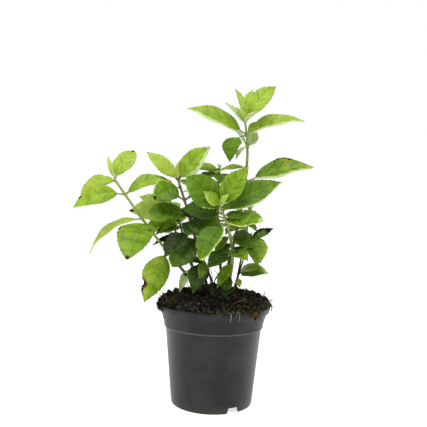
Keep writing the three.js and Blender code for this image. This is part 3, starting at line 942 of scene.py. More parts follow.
def add_limb(heap, shoot, low, high, look, rng):
    """Part of a shoot between two shares of its line, ridged, swollen at its leaf pairs and toned by age."""
    whole = line_length(shoot)
    shares = np.linspace(low, high, max(4, int((high - low) * whole)))
    path = line_points(shoot, shares)
    if low == 0:
        path = np.concatenate((path[:1] - (0, 0, FOOT_DEPTH), path))
        shares = np.concatenate(((0,), shares))
    flare = FLARE * np.exp(-shares * whole / FLARE_RUN)
    radius = shoot.girth * (STEM_RADIUS + (TIP_RADIUS - STEM_RADIUS) * shares + flare)
    for at in {leaf.at for leaf in shoot.leaves}:
        radius = radius + look.node_swell / MM * np.exp(-(((shares - at) * whole / NODE_RUN) ** 2))
    if high == 1:
        radius = radius * np.where(shares > 0.985, 0.55, 1)
    turn = 2 * math.pi * np.arange(LIMB_SIDES) / LIMB_SIDES
    wander = np.cumsum(rng.normal(0, 0.08, len(shares)))[:, None]
    ridges = np.sin(5 * turn[None] + wander) + 0.6 * rng.normal(0, 1, (len(shares), LIMB_SIDES))
    ridges = look.ridge / MM * ridges * (1.1 - 0.6 * shares[:, None])
    age = shoot.bark + BARK_RUN * shares[:-1, None] ** BARK_POWER
    age = age + rng.normal(0, BARK_SCATTER, (len(shares) - 1, LIMB_SIDES))
    tones = np.clip(np.round(age), 0, BARKS - 1)
    add_tube(heap, path, radius[:, None] + ridges, LIMB_SIDES, tones)


def add_stalk(heap, shoot, root, leaf, look, rng):
    """A leaf's stalk from the middle of its shoot to the base of its blade, with a bud in its axil."""
    share = np.linspace(-leaf.stalk / (1 - leaf.stalk), 0.1, STALK_RINGS)
    path = leaf_points(root, leaf, share, 0 * share, 0 * share, np.full(STALK_RINGS, -0.25))
    radius = look.stalk / MM * min(1, 0.4 + leaf.long / 80) * np.linspace(1.15, 0.5, STALK_RINGS)
    scatter = rng.normal(0, 0.5, (STALK_RINGS - 1, STALK_SIDES))
    # A stalk darker for a darker leaf, carrying the leaf's partly painted shade to the stalk.
    age = np.clip(3.4 + 1.2 * shoot.bark - 0.25 * leaf.tone + scatter, 0, BARKS - 1)
    add_tube(heap, path, radius, STALK_SIDES, np.round(age))
    if leaf.long > 24:
        along, up, _ = leaf_axes(leaf)
        start = root + along * 1.2 + up * 0.6
        rise = np.array((0, 0, 1.0)) + 0.5 * along
        bud = start + np.linspace(0, 1, 6)[:, None] * rise * 2.6
        swelling = np.array((0.5, 0.8, 0.85, 0.65, 0.35, 0.06))
        add_tube(heap, bud, swelling, BUD_SIDES, np.round(age[:5, :BUD_SIDES]))


def tip_leaves(rng):
    """The smallest leaves, still folded, round the end of a shoot."""
    turn = 360 * rng.random()
    found = []
    for pair in range(2):
        for opposite in (0, 180):
            bearing = turn + 90 * pair + opposite + 20 * (rng.random() - 0.5)
            size = (9 - 3.5 * pair) * (0.85 + 0.3 * rng.random())
            roll = 20 * (rng.random() - 0.5)
            found.append(Leaf(1, bearing, 58 + 16 * pair, size, 0.34, roll, 0.1, 1.2, curl=0.5))
    return found


class PlantOperator:
    """What the making of each piece has in common."""

    bl_options = {"REGISTER", "UNDO"}


# Pot: rounding of its lip and bead on its ledge in metres, steps of its turning, and bearings of its notches.
LIP_ROUND = 0.001
BEAD = 0.0007
POT_STEPS = 144
NOTCH_TURNS = (-58.4, 61.6, 181.6)


def pot_profile(pot):
    """Half section of the pot from the middle of its underside round to the middle of its floor."""
    rim, top = pot.rim_radius, pot.rim_height
    out, step = pot.step_radius, pot.step_height
    foot, recess = pot.foot_radius, pot.foot_recess
    lip = top - pot.lip_depth
    collar = rim - pot.lip_undercut - LIP_ROUND
    inside = recess + pot.floor
    ledge = out - pot.step_ledge
    rounded = [
        (rim - LIP_ROUND + LIP_ROUND * math.cos(a), top - LIP_ROUND + LIP_ROUND * math.sin(a))
        for a in np.linspace(0, math.pi / 2, 5)
    ]
    return [
        (0, recess),
        (foot - pot.foot_ring, recess),
        (foot - pot.foot_ring, 0.0003),
        (foot - pot.foot_ring + 0.0003, 0),
        (foot - 0.0008, 0),
        (foot - 0.0002, 0.0003),
        (foot, 0.001),
        (ledge - 0.0001, step - 0.0016),
        (ledge + 0.0002, step - 0.0011),
        (out + BEAD * 0.7, step - 0.0007),
        (out + BEAD, step),
        (out + BEAD * 0.6, step + 0.0006),
        (out + 0.0003, step + 0.0012),
        (collar, lip - 0.0008),
        (rim - 0.0016, lip - 0.0001),
        (rim - 0.0009, lip + 0.0008),
        *rounded,
        (rim - 0.0022, top),
        (rim - 0.0027, top - 0.0004),
        (rim - 0.0029, top - 0.0012),
        (collar - pot.wall, lip - 0.001),
        (out - pot.wall, step),
        (ledge - pot.wall, step - 0.0006),
        (foot + (ledge - foot) * inside / step - pot.wall, inside),
        (0, inside),
    ]


def spun(profile, steps):
    """A bmesh turned from a half section about the pot's axis."""
    made = bmesh.new()
    verts = [made.verts.new((r + AXIS[0] * MM, AXIS[1] * MM, z)) for r, z in profile]
    edges = [made.edges.new(pair) for pair in zip(verts, verts[1:])]
    bmesh.ops.spin(
        made, geom=verts + edges, cent=Vector(AXIS) * MM, axis=(0, 0, 1), angle=2 * math.pi,
        steps=steps, use_merge=True,
    )
    bmesh.ops.remove_doubles(made, verts=made.verts, dist=1e-6)
    bmesh.ops.recalc_face_normals(made, faces=made.faces)
    return made


def as_mesh(made, name, sharp):
    """A bmesh as a smooth mesh with edges sharper than an angle kept."""
    mesh = bpy.data.meshes.new(name)
    for face in made.faces:
        face.smooth = True
    made.to_mesh(mesh)
    made.free()
    mesh.set_sharp_from_angle(angle=math.radians(sharp))
    return mesh


def notch_cutter(pot):
    """Three trapezoids run outwards through the foot ring."""
    made = bmesh.new()
    for turn in NOTCH_TURNS:
        outline = (
            (-pot.notch_foot / 2, -0.001), (pot.notch_foot / 2, -0.001),
            (pot.notch_head / 2, pot.notch_height), (-pot.notch_head / 2, pot.notch_height),
        )
        inner = pot.foot_radius - 2 * pot.foot_ring
        face = made.faces.new([made.verts.new((inner, y, z)) for y, z in outline])
        grown = bmesh.ops.extrude_face_region(made, geom=[face])["geom"]
        ends = [v for v in grown if isinstance(v, bmesh.types.BMVert)]
        bmesh.ops.translate(made, verts=ends, vec=(4 * pot.foot_ring, 0, 0))
        turned = Matrix.Translation(Vector(AXIS) * MM) @ Matrix.Rotation(math.radians(turn), 4, "Z")
        bmesh.ops.transform(made, matrix=turned, verts=[*face.verts, *ends])
    bmesh.ops.recalc_face_normals(made, faces=made.faces)
    mesh = bpy.data.meshes.new("notches")
    made.to_mesh(mesh)
    made.free()
    return link_mesh("notches", mesh, [])


def pot_plastic(pot):
    """Injection-moulded polypropylene: near black with a low sheen, so its sides pick up the pale room.

    Handling leaves fine pale scuffs, and watering leaves a grey-green bloom round the foot; a thin pale band
    round the ledge is painted highlight, where its edge catches the light.
    """
    material, tree, shader = new_material(
        "moulded_polypropylene", IOR=1.49, Roughness=0.42, Specular_IOR_Level=0.2
    )
    plastic, dust_and_highlight, stain = (tuple(c) for c in (pot.plastic, pot.dust_and_highlight, pot.stain))
    spot = add_node(tree, "ShaderNodeTexCoord").outputs["Object"]
    drawn_out = add_node(tree, "ShaderNodeMapping", inputs={"Vector": spot, "Scale": (1.0, 1.0, 7.0)})
    cloud = add_noise(tree, spot, 22, 4.0, 0.6)
    scuff = add_noise(tree, drawn_out.outputs["Vector"], 9, 6.0, 0.7)
    haze = add_range(tree, cloud, 0.42, 0.75, most=0.16)
    streak = add_range(tree, scuff, 0.58, 0.72, most=0.2)
    wear = add_maths(tree, "ADD", haze, streak)
    dusty = add_mix(tree, wear, plastic, dust_and_highlight)
    height = add_node(tree, "ShaderNodeSeparateXYZ", inputs={"Vector": spot}).outputs["Z"]
    # Painted highlight: a thin pale band at the height of the ledge, in the dust colour, where the ledge's
    # edge catches the light.
    from_step = add_maths(tree, "ABSOLUTE", add_maths(tree, "SUBTRACT", height, pot.step_height))
    painted_ledge_highlight = add_range(tree, from_step, 0.0011, 0.0004, most=0.75)
    ledge_highlighted = add_mix(tree, painted_ledge_highlight, dusty, dust_and_highlight)
    low = add_range(tree, height, 0.009, 0.0, most=0.7)
    skin = add_mix(tree, add_maths(tree, "MULTIPLY", low, cloud), ledge_highlighted, stain)
    tree.links.new(skin, shader.inputs["Base Color"])
    rough = add_range(tree, wear, least=0.36, most=0.75)
    tree.links.new(rough, shader.inputs["Roughness"])
    add_bump(tree, shader, add_noise(tree, spot, 0.9, 3.0), 0.12, 0.0003)
    return material


class MakePot(PlantOperator, bpy.types.Operator):
    """Turns the nursery pot and cuts its drain notches"""

    bl_idname = "mock_orange.pot"
    bl_label = "Pot"

    def execute(self, context):
        pot = context.scene.mock_orange_pot
        shell = link_mesh("pot_blank", as_mesh(spun(pot_profile(pot), POT_STEPS), "pot_blank", 30), [])
        cutter = notch_cutter(pot)
        cut = shell.modifiers.new("notches", "BOOLEAN")
        cut.operation = "DIFFERENCE"
        cut.solver = "EXACT"
        cut.object = cutter
        ready = shell.evaluated_get(context.evaluated_depsgraph_get())
        mesh = bpy.data.meshes.new_from_object(ready)
        mesh.name = "nursery_pot"
        mesh.set_sharp_from_angle(angle=math.radians(30))
        bpy.data.objects.remove(shell)
        bpy.data.objects.remove(cutter)
        mesh.materials.clear()
        place(link_mesh("nursery_pot", mesh, [pot_plastic(pot)]), "pot_plastic", "pot")
        return {"FINISHED"}


# Heap of compost, in millimetres: how far it falls from its level top out to its bulging edge.
HEAP_RADII = (0, 35, 42, 49, 54.5, 58.3)
HEAP_FALLS = (0, 0, 1.6, 4, 6.4, 9)
HEAP_RINGS = 48
HEAP_STEPS = 132
LUMPY_REACH = 58


def heap_height(radius):
    """Height of the even heap at a distance from the pot's axis."""
    return SOIL_TOP - np.interp(radius, HEAP_RADII, HEAP_FALLS)


def lump_at(x, y, size):
    """Height of the heap's lumps at a place."""
    wide = noise.fractal(Vector((x / 11, y / 11, 0.3)), 1.0, 2.0, 3)
    fine = noise.noise(Vector((x / 2.6, y / 2.6, 4.1)))
    return size * (wide + 0.4 * fine)


def compost(soil):
    """Peat compost: matt, damp and nearly black in its hollows, with a dry brown crust on its crumbs."""
    material, tree, shader = new_material("peat_compost", Roughness=1.0, Specular_IOR_Level=0.1)
    spot = add_node(tree, "ShaderNodeTexCoord").outputs["Object"]
    crumb = add_noise(tree, spot, 2.2, 5.0, 0.7)
    dry = add_range(tree, crumb, 0.5, 0.72)
    skin = add_mix(tree, dry, tuple(soil.peat), tuple(soil.crust))
    tree.links.new(skin, shader.inputs["Base Color"])
    add_bump(tree, shader, crumb, 0.9, 0.0012)
    return material


class MakeSoil(PlantOperator, bpy.types.Operator):
    """Fills the pot with compost heaped above its rim"""

    bl_idname = "mock_orange.soil"
    bl_label = "Compost"

    def execute(self, context):
        soil = context.scene.mock_orange_soil
        pot = context.scene.mock_orange_pot
        floor = pot.foot_recess + pot.floor + 0.0004
        fit = pot.wall + 0.0006
        ledge = pot.step_radius - pot.step_ledge
        low = pot.foot_radius + (ledge - pot.foot_radius) * floor / pot.step_height
        rim, top = pot.rim_radius, pot.rim_height
        profile = [
            (0, floor),
            (low - fit, floor),
            (ledge - fit, pot.step_height - 0.0008),
            (rim - 0.0042 - fit, top - pot.lip_depth - 0.001),
            (rim - 0.0033, top - 0.0008),
            (rim - 0.0031, top),
        ]
        profile += [(r * MM, heap_height(r) * MM) for r in np.linspace(HEAP_RADII[-1], 0, HEAP_RINGS)]
        made = spun(profile, HEAP_STEPS)
        for vert in made.verts:
            x, y = vert.co.x / MM - AXIS[0], vert.co.y / MM - AXIS[1]
            radius = math.hypot(x, y)
            if vert.co.z > heap_height(radius) * MM - 0.0005 and radius < LUMPY_REACH:
                vert.co.z += lump_at(x, y, soil.lump)
        bmesh.ops.recalc_face_normals(made, faces=made.faces)
        mesh = as_mesh(made, "compost", 180)
        place(link_mesh("compost", mesh, [compost(soil)]), "compost", "soil")
        return {"FINISHED"}


LITTER_COLOURS = (
    "#080605", "#0f0b08", "#1b150f", "#2e2318", "#4a3522", "#2a2c1c",
    "#494c33", "#605f45", "#423b30", "#84693c", "#bfae84",
)
PEAT, WET, BROWN_CRUMB, RUST, BARK_CHIP, OLIVE, MOSS, PALE_MOSS, DUSTY, TAN_FIBRE, STRAW_FIBRE = range(11)

# What the loose bits are, with the share of each.
PEATY = ((PEAT, 0.4), (WET, 0.28), (BROWN_CRUMB, 0.14), (RUST, 0.06), (BARK_CHIP, 0.02), (DUSTY, 0.1))
MOSSY = ((WET, 0.25), (OLIVE, 0.4), (MOSS, 0.2), (DUSTY, 0.15))
FIBROUS = (
    (WET, 0.26), (BROWN_CRUMB, 0.24), (RUST, 0.1), (BARK_CHIP, 0.06), (OLIVE, 0.16), (DUSTY, 0.15),
    (TAN_FIBRE, 0.03),
)
MOSS_BLADES = ((OLIVE, 0.4), (MOSS, 0.34), (PALE_MOSS, 0.16), (DUSTY, 0.1))

# How far out loose bits lie, in millimetres: on the heap, on the lip and against its outside.
CRUMB_REACH = 58.5
FIBRE_REACH = 57
MOSS_REACH = 57.5
MOSSY_EDGE = 56
LIP_FROM = 56.8
LIP_TO = 60.4
LIP_OUTSIDE = 60.3


def litter_materials():
    """Loose bits of the compost: damp peat, bark chips, moss and dry fibres, all matt."""
    return tone_materials("litter", map(linear, LITTER_COLOURS), 0.95, 0.15)


def drawn(mix, rng):
    """A tone drawn from a mix."""
    tones, shares = zip(*mix)
    return rng.choice(tones, p=shares)


def surface(x, y, lump):
    """Height of the lumpy heap at a place."""
    return float(heap_height(math.hypot(x, y))) + lump_at(x, y, lump)


def outward(angle):
    """Level direction out from the pot's axis."""
    return np.array((math.cos(angle), math.sin(angle), 0))


def heap_place(rng, reach, lump):
    """A place on the lumpy heap."""
    radius = reach * math.sqrt(rng.random())
    turn = 2 * math.pi * rng.random()
    x, y = radius * math.cos(turn), radius * math.sin(turn)
    return np.array((x, y, surface(x, y, lump)))


def moss_share(x, y):
    """How mossy the heap is at a place: in patches, and more so towards its sides and its edge."""
    patch = noise.noise(Vector((x / 17 + 3, y / 17, 8.2)))
    return 0.8 * patch + 0.4 * abs(x) / MOSSY_EDGE + 0.2 * (x * x + y * y) / MOSSY_EDGE**2


def crumb_shape():
    """Points and faces of a rounded crumb."""
    made = bmesh.new()
    bmesh.ops.create_icosphere(made, subdivisions=1, radius=1)
    points = np.array([v.co for v in made.verts])
    faces = [[v.index for v in f.verts] for f in made.faces]
    made.free()
    return points, faces


def add_crumb(heap, crumb, spot, size, tone, rng):
    """A crumb of a size at a place, misshapen and turned."""
    points, faces = crumb
    turn = np.linalg.qr(rng.normal(size=(3, 3)))[0]
    shape = points * (size * (0.6 + 0.8 * rng.random(3))) * (0.8 + 0.4 * rng.random((len(points), 1)))
    heap.add(shape @ turn.T + spot, faces, [tone] * len(faces), [size > 1.2] * len(faces))


def add_crumbs(heap, count, least, most, lump, rng):
    """Crumbs and bark chips of a range of sizes over the heap."""
    crumb = crumb_shape()
    for _ in range(count):
        spot = heap_place(rng, CRUMB_REACH, lump)
        size = least + (most - least) * rng.random() ** 2.2
        mossy = moss_share(spot[0], spot[1]) + 0.25 * rng.normal()
        tone = drawn(MOSSY if mossy > 0.4 else PEATY, rng)
        add_crumb(heap, crumb, spot + (0, 0, 0.3 * size), size, tone, rng)


def add_fibre(heap, path, radius, tone):
    """A thin fibre along a line."""
    ends = np.sin(np.linspace(0.25, math.pi - 0.25, len(path))) ** 0.5
    add_tube(heap, path, radius * ends, 4, tone)


def loose_line(rng, start, way, run, bend):
    """A wandering line from a place in a direction."""
    points = [start]
    step = way / np.linalg.norm(way) * run / 6
    for _ in range(6):
        step = step + rng.normal(0, bend * run / 6, 3)
        points.append(points[-1] + step)
    return np.array(points)


def add_fibres(heap, count, lump, rng):
    """Dry fibres lying on the heap and standing out of it."""
    for _ in range(count):
        spot = heap_place(rng, FIBRE_REACH, lump)
        turn = 2 * math.pi * rng.random()
        way = np.array((math.cos(turn), math.sin(turn), rng.normal(0.2, 0.35)))
        path = loose_line(rng, spot, way, 2.5 + 4.5 * rng.random(), 0.45)
        floor = np.array([surface(x, y, lump) for x, y, _ in path])
        path[:, 2] = np.maximum(path[:, 2], floor + 0.2)
        add_fibre(heap, path, 0.16 + 0.2 * rng.random(), drawn(FIBROUS, rng))


def add_moss(heap, count, lump, rng):
    """Short mossy blades in patches."""
    made = 0
    while made < count:
        spot = heap_place(rng, MOSS_REACH, lump)
        if moss_share(spot[0], spot[1]) + 0.15 * rng.normal() < 0.34:
            continue
        made += 1
        way = np.array((rng.normal(), rng.normal(), abs(rng.normal(0.3, 0.6))))
        path = loose_line(rng, spot + (0, 0, 0.3), way, 1.6 + 2.6 * rng.random(), 0.4)[:5]
        add_tube(heap, path, np.array((0.2, 0.27, 0.25, 0.17, 0.05)), 3, drawn(MOSS_BLADES, rng))


# Tufts spilt on the rim: bearing and spread in degrees, number of bits and what they are.
RIM_TUFTS = (
    (-99, 8, 80, MOSSY), (-74, 8, 90, MOSS_BLADES), (-47, 4, 60, FIBROUS), (-14, 10, 60, MOSS_BLADES),
    (200, 8, 70, FIBROUS), (150, 14, 60, MOSS_BLADES), (85, 25, 90, MOSS_BLADES), (40, 10, 50, FIBROUS),
)


def add_rim_tufts(strands, crumbs, rim, rng):
    """Fibres and crumbs lying over the lip of the pot, where the heap spills on to it."""
    crumb = crumb_shape()
    for turn, spread, count, mix in RIM_TUFTS:
        for number in range(count):
            out = outward(math.radians(turn + spread * rng.normal()))
            start = out * (LIP_FROM + 3 * rng.random()) + (0, 0, rim + 0.5 + 1.2 * rng.random())
            way = np.array((rng.normal(), rng.normal(), rng.normal(0, 0.35)))
            path = loose_line(rng, start, way, 2 + 2.4 * rng.random(), 0.45)
            over = np.hypot(path[:, 0], path[:, 1]) < LIP_TO
            path[:, 2] = np.maximum(path[:, 2], np.where(over, rim + 0.3, rim - 2))
            add_fibre(strands, path, 0.18 + 0.22 * rng.random(), drawn(mix, rng))
            if number % 3 == 0:
                add_crumb(crumbs, crumb, start, 0.4 + 0.8 * rng.random(), drawn(mix, rng), rng)


# Strands that hang over the rim: bearing in degrees, length in mm, tone and number.
RIM_STRANDS = (
    (-72, 11, STRAW_FIBRE, 1), (-69, 12, STRAW_FIBRE, 1), (-66, 6, TAN_FIBRE, 1), (-52, 6, BARK_CHIP, 6),
    (-48, 11, TAN_FIBRE, 3), (-47, 8, BARK_CHIP, 10), (-45, 10, RUST, 8), (-6, 7, OLIVE, 4),
    (200, 7, WET, 8), (207, 5, BROWN_CRUMB, 5), (190, 6, STRAW_FIBRE, 1), (40, 7, RUST, 4),
    (120, 8, BARK_CHIP, 4), (75, 5, MOSS, 5),
)


# How far out a strand runs, from where it lies on the heap to its hanging end, in millimetres.
STRAND_RADII = (53, 57.5, 60.2, 61.0, 61.2, 60.8, 60.2)


def add_rim_strands(heap, rim, rng):
    """Fibres that reach from the heap over the lip and hang down outside it."""
    for turn, run, tone, count in RIM_STRANDS:
        for _ in range(count):
            angle = math.radians(turn + rng.normal(0, 2.5))
            out = outward(angle)
            lean = np.array((-math.sin(angle), math.cos(angle), 0)) * rng.normal(0, 0.5)
            hang = run * (0.5 + 0.6 * rng.random())
            drops = (1, 1.5, 0.9, *(-0.5 - share * hang for share in (0.15, 0.4, 0.7, 1)))
            path = np.array([out * r + lean * (4 - z) + (0, 0, rim + z) for r, z in zip(STRAND_RADII, drops)])
            path[3:] += rng.normal(0, 0.42, (4, 3)) * (1, 1, 0.6)
            path[3:, :2] += out[:2] * 0.4
            add_fibre(heap, path, 0.16 + 0.2 * rng.random(), tone)


# Crumbs that cling to the rim among the strands: bearing in degrees, how far down in mm, number and mix.
RIM_CLUMPS = (
    (-47, 8, 46, FIBROUS), (-52, 4, 20, PEATY), (199, 6, 40, PEATY), (194, 3, 16, MOSSY), (70, 4, 30, PEATY),
)


def add_rim_clumps(heap, rim, rng):
    """Crumbs held against the outside of the lip by the strands."""
    crumb = crumb_shape()
    for turn, run, count, mix in RIM_CLUMPS:
        for _ in range(count):
            fall = run * rng.random() ** 1.5
            angle = math.radians(turn + rng.normal(0, 2.2 - 0.12 * fall))
            spot = outward(angle) * (LIP_OUTSIDE + 0.5 * rng.random()) + (0, 0, rim + 0.6 - fall)
            add_crumb(heap, crumb, spot, 0.35 + 0.55 * rng.random(), drawn(mix, rng), rng)


# Specks on the collar: their number, and the collar's height and flare in millimetres.
SPECKS = 26
COLLAR_HEIGHT = 14.7
COLLAR_FLARE = 4.3


def add_specks(heap, pot, rng):
    """Specks of compost stuck to the left of the pot's collar."""
    crumb = crumb_shape()
    for _ in range(SPECKS):
        angle = math.radians(196 + 40 * rng.random())
        height = pot.step_height / MM + 2 + 14 * rng.random() ** 0.7
        share = (height - pot.step_height / MM) / COLLAR_HEIGHT
        radius = pot.step_radius / MM + COLLAR_FLARE * min(1, share)
        spot = outward(angle) * radius + (0, 0, height)
        add_crumb(heap, crumb, spot, 0.25 + 0.45 * rng.random() ** 2, drawn(PEATY, rng), rng)


class MakeLitter(PlantOperator, bpy.types.Operator):
    """Strews crumbs, moss and fibres over the compost and the rim"""

    bl_idname = "mock_orange.litter"
    bl_label = "Crumbs, moss and fibres"

    def execute(self, context):
        soil = context.scene.mock_orange_soil
        pot = context.scene.mock_orange_pot
        lump, rim = soil.lump / MM, pot.rim_height / MM
        materials = litter_materials()
        rng = np.random.default_rng(LITTER_SEED)
        crumbs, strands, moss = Heap(), Heap(), Heap()
        add_crumbs(crumbs, soil.clods, 1.3, 3.2, lump, rng)
        add_crumbs(crumbs, soil.crumbs, 0.45, 1.6, lump, rng)
        add_specks(crumbs, pot, rng)
        add_fibres(strands, soil.fibres, lump, rng)
        add_rim_tufts(strands, crumbs, rim, rng)
        add_rim_strands(strands, rim, rng)
        add_rim_clumps(crumbs, rim, rng)
        add_moss(moss, soil.moss, lump, rng)
        place(crumbs.piece("compost_crumbs", materials), "compost")
        place(strands.piece("compost_fibres", materials), "compost")
        place(moss.piece("moss", materials), "compost")
        return {"FINISHED"}


def bark_materials(stem):
    """Bark from old to fresh: dull brown-grey at the foot, reddish where it ripens, then smooth green."""
    anchors = [tuple(c) for c in (stem.old, stem.ripe, stem.mid, stem.green, stem.fresh)]
    return tone_materials("bark", ramp_colours(anchors, BARKS), 0.8, 0.25, 0.03)


class MakeStems(PlantOperator, bpy.types.Operator):
    """Makes the stems from the compost up to their foliage"""

    bl_idname = "mock_orange.stems"
    bl_label = "Stems"

    def execute(self, context):
        stem = context.scene.mock_orange_stem
        heap = Heap()
        rng = np.random.default_rng(STEM_SEED)
        for shoot in SHOOTS:
            add_limb(heap, shoot, 0, shoot.start, stem, rng)
        place(heap.piece("stems", bark_materials(stem)), "bark", *(f"{s.name}_stem" for s in SHOOTS))
        return {"FINISHED"}


# Dead twigs among the feet of the shoots: three places along each, in millimetres.
DEAD_TWIGS = (
    ((-4, -6, 115), (-3, -6, 134), (-9, -7, 149)),
    ((2, -6, 115), (4, -4, 132), (-2, -6, 141)),
    ((8, -2, 115), (3, -4, 128), (9, -6, 139)),
    ((4, -8, 115), (0, -9, 130), (7, -10, 142)),
    ((-1, -9, 128), (4, -9, 136), (10, -8, 137)),
    ((18, -2, 115), (21, -3, 122), (20, -4, 128)),
    ((20, 0, 115), (17, -2, 121), (19, -3, 127)),
    ((-24, -9, 137), (-15, -9, 147), (-6, -8, 135)),
)


class MakeTwigs(PlantOperator, bpy.types.Operator):
    """Makes the leafy part of each shoot with its stalks and buds, and the dead twigs at the foot"""

    bl_idname = "mock_orange.twigs"
    bl_label = "Twigs"

    def execute(self, context):
        stem = context.scene.mock_orange_stem
        heap = Heap()
        rng = np.random.default_rng(TWIG_SEED)
        for shoot in SHOOTS:
            add_limb(heap, shoot, shoot.start, 1, stem, rng)
            for leaf in shoot.leaves + shoot.inner:
                add_stalk(heap, shoot, line_points(shoot, leaf.at), leaf, stem, rng)
        for places in DEAD_TWIGS:
            path = bent_line(*places, np.linspace(0, 1, TWIG_RINGS))
            tones = np.round(rng.uniform(1, 4, (TWIG_RINGS - 1, TWIG_SIDES)))
            add_tube(heap, path, np.linspace(0.6, 0.3, TWIG_RINGS), TWIG_SIDES, tones)
        materials = [m for m in bpy.data.materials if m.name.startswith("bark_")]
        place(heap.piece("twigs", materials), "bark")
        return {"FINISHED"}


def leaf_materials(look):
    """Leaf skin: thin soft green with a low sheen, paler and duller below, brown to black where scorched."""
    anchors = [tuple(c) for c in (look.tip, look.young, look.grown, look.shaded, look.dark)]
    greens = ramp_colours(anchors, GREENS)
    unders = ramp_colours(anchors[:4], UNDERS)
    unders = [mixed(c, tuple(look.under), 0.62 - 0.07 * i) for i, c in enumerate(unders)]
    # Margin tones, for pale margins and for painted highlights.
    margins_and_highlights = [mixed(tuple(look.young), tuple(look.margin), s) for s in (1.0, 0.7, 0.4)]
    tan = mixed(tuple(look.straw), tuple(look.scorch), 0.6)
    hurt = [tuple(look.straw), tan, tuple(look.scorch), tuple(look.char)]
    made = tone_materials("leaf", greens, 0.46, 0.2)
    made += tone_materials("underleaf", unders, 0.7, 0.2)
    made += tone_materials("margin", margins_and_highlights, 0.55, 0.2)
    return made + tone_materials("scorch", hurt, 0.8, 0.2)


class MakeLeaves(PlantOperator, bpy.types.Operator):
    """Makes the leaves of each shoot"""

    bl_idname = "mock_orange.leaves"
    bl_label = "Leaves"

    def execute(self, context):
        look = context.scene.mock_orange_leaf
        materials = leaf_materials(look)
        for number, shoot in enumerate(SHOOTS):
            heap = Heap()
            rng = np.random.default_rng(LEAF_SEED + number)
            for leaf in shoot.leaves + shoot.inner + tip_leaves(rng):
                add_blade(heap, line_points(shoot, leaf.at), leaf, look, rng)
            place(heap.piece(f"{shoot.name}_leaves", materials), shoot.slot, f"{shoot.name}_foliage")
        return {"FINISHED"}


# Half the breadth of the floor, and height of the point that the lights are turned to, in metres.
FLOOR_HALF = 8
AIM_HEIGHT = 0.2


def lay_floor(stage):
    """White acrylic sheet, matt and lit from below, so that it runs into the white room."""
    made = bmesh.new()
    bmesh.ops.create_grid(made, x_segments=1, y_segments=1, size=FLOOR_HALF)
    mesh = bpy.data.meshes.new("floor")
    made.to_mesh(mesh)
    made.free()
    material, _, _ = new_material(
        "lit_white_acrylic", Base_Color=tuple(stage.floor), Roughness=0.9, Specular_IOR_Level=0.0,
        Emission_Color=tuple(stage.floor), Emission_Strength=stage.glow,
    )
    floor = link_mesh("floor", mesh, [material])


def whiten_room(scene, stage):
    """White room that is seen at full strength and lights the plant more softly."""
    world = bpy.data.worlds.new("white_room")
    world.use_nodes = True
    tree = world.node_tree
    sky = tree.nodes["Background"]
    sky.inputs["Color"].default_value = (1, 1, 1, 1)
    seen = add_node(tree, "ShaderNodeLightPath").outputs["Is Camera Ray"]
    tree.links.new(add_range(tree, seen, least=stage.sky), sky.inputs["Strength"])
    scene.world = world


def soft_box(name, offset, size, power):
    """A square soft light, so far off the middle of the plant and turned to it."""
    aim = Vector((AXIS[0] * MM, AXIS[1] * MM, AIM_HEIGHT))
    where = aim + Vector(offset)
    data = bpy.data.lights.new(name, "AREA")
    data.size = size
    data.energy = power
    made = bpy.data.objects.new(name, data)
    made.location = where
    made.rotation_euler = (aim - where).to_track_quat("-Z", "Y").to_euler()
    bpy.context.scene.collection.objects.link(made)


def set_camera(scene, stage):
    """Camera in front of the plant, turned slightly down."""
    lens = bpy.data.cameras.new("camera")
    lens.sensor_width = SENSOR
    lens.lens = stage.lens
    lens.clip_start = 0.01
    camera = bpy.data.objects.new("camera", lens)
    camera.location = (AXIS[0] * MM + stage.aside, AXIS[1] * MM - stage.distance, stage.height)
    turned = Matrix.Rotation(math.pi / 2 - stage.pitch, 4, "X") @ Matrix.Rotation(stage.roll, 4, "Z")
    camera.rotation_euler = turned.to_euler()
    scene.collection.objects.link(camera)
    scene.camera = camera


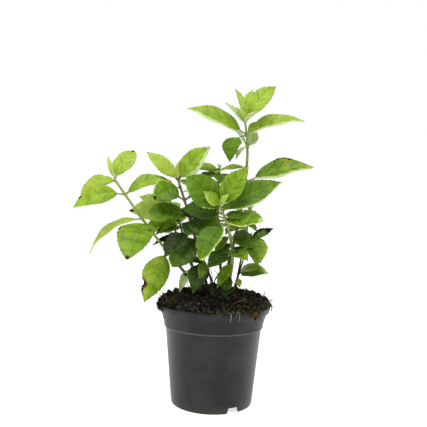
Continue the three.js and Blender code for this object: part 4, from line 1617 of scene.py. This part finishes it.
class MakeStage(PlantOperator, bpy.types.Operator):
    """Lays the pale floor and sets the light and the camera"""

    bl_idname = "mock_orange.stage"
    bl_label = "Stage"

    def execute(self, context):
        stage = context.scene.mock_orange_stage
        lay_floor(stage)
        whiten_room(context.scene, stage)
        soft_box("overhead_box", (-0.1, -0.35, 1.0), 1.0, stage.key)
        soft_box("left_box", (-1.1, -0.3, 0.25), 0.8, stage.side)
        soft_box("right_box", (1.1, -0.3, 0.25), 0.8, stage.side)
        set_camera(context.scene, stage)
        context.scene.view_settings.view_transform = "Standard"
        return {"FINISHED"}


class PlantPanel(bpy.types.Panel):
    """The makers of the shrub's pieces with their settings"""

    bl_idname = "VIEW3D_PT_mock_orange"
    bl_label = "Potted mock orange"
    bl_space_type = "VIEW_3D"
    bl_region_type = "UI"
    bl_category = "Mock orange"

    def draw(self, context):
        for maker, settings in MAKERS:
            self.layout.operator(maker.bl_idname)
            group = getattr(context.scene, settings)
            box = self.layout.box()
            for name in group.bl_rna.properties.keys():
                if name not in {"rna_type", "name"}:
                    box.prop(group, name)


SETTINGS = {
    "mock_orange_pot": PotSettings,
    "mock_orange_soil": SoilSettings,
    "mock_orange_stem": StemSettings,
    "mock_orange_leaf": LeafSettings,
    "mock_orange_stage": StageSettings,
}
MAKERS = (
    (MakePot, "mock_orange_pot"),
    (MakeSoil, "mock_orange_soil"),
    (MakeLitter, "mock_orange_soil"),
    (MakeStems, "mock_orange_stem"),
    (MakeTwigs, "mock_orange_stem"),
    (MakeLeaves, "mock_orange_leaf"),
    (MakeStage, "mock_orange_stage"),
)


def register():
    """Adds the settings, the makers and the panel to Blender."""
    for group in SETTINGS.values():
        bpy.utils.register_class(group)
    for name, group in SETTINGS.items():
        setattr(bpy.types.Scene, name, PointerProperty(type=group))
    for maker, _ in MAKERS:
        bpy.utils.register_class(maker)
    bpy.utils.register_class(PlantPanel)


def unregister():
    """Takes them out again."""
    bpy.utils.unregister_class(PlantPanel)
    for maker, _ in reversed(MAKERS):
        bpy.utils.unregister_class(maker)
    for name, group in reversed(SETTINGS.items()):
        delattr(bpy.types.Scene, name)
        bpy.utils.unregister_class(group)


def main():
    """Makes every piece in order."""
    register()
    grow_shrub()
    bpy.ops.mock_orange.pot()
    bpy.ops.mock_orange.soil()
    bpy.ops.mock_orange.litter()
    bpy.ops.mock_orange.stems()
    bpy.ops.mock_orange.twigs()
    bpy.ops.mock_orange.leaves()
    bpy.ops.mock_orange.stage()


if __name__ == "__main__":
    main()
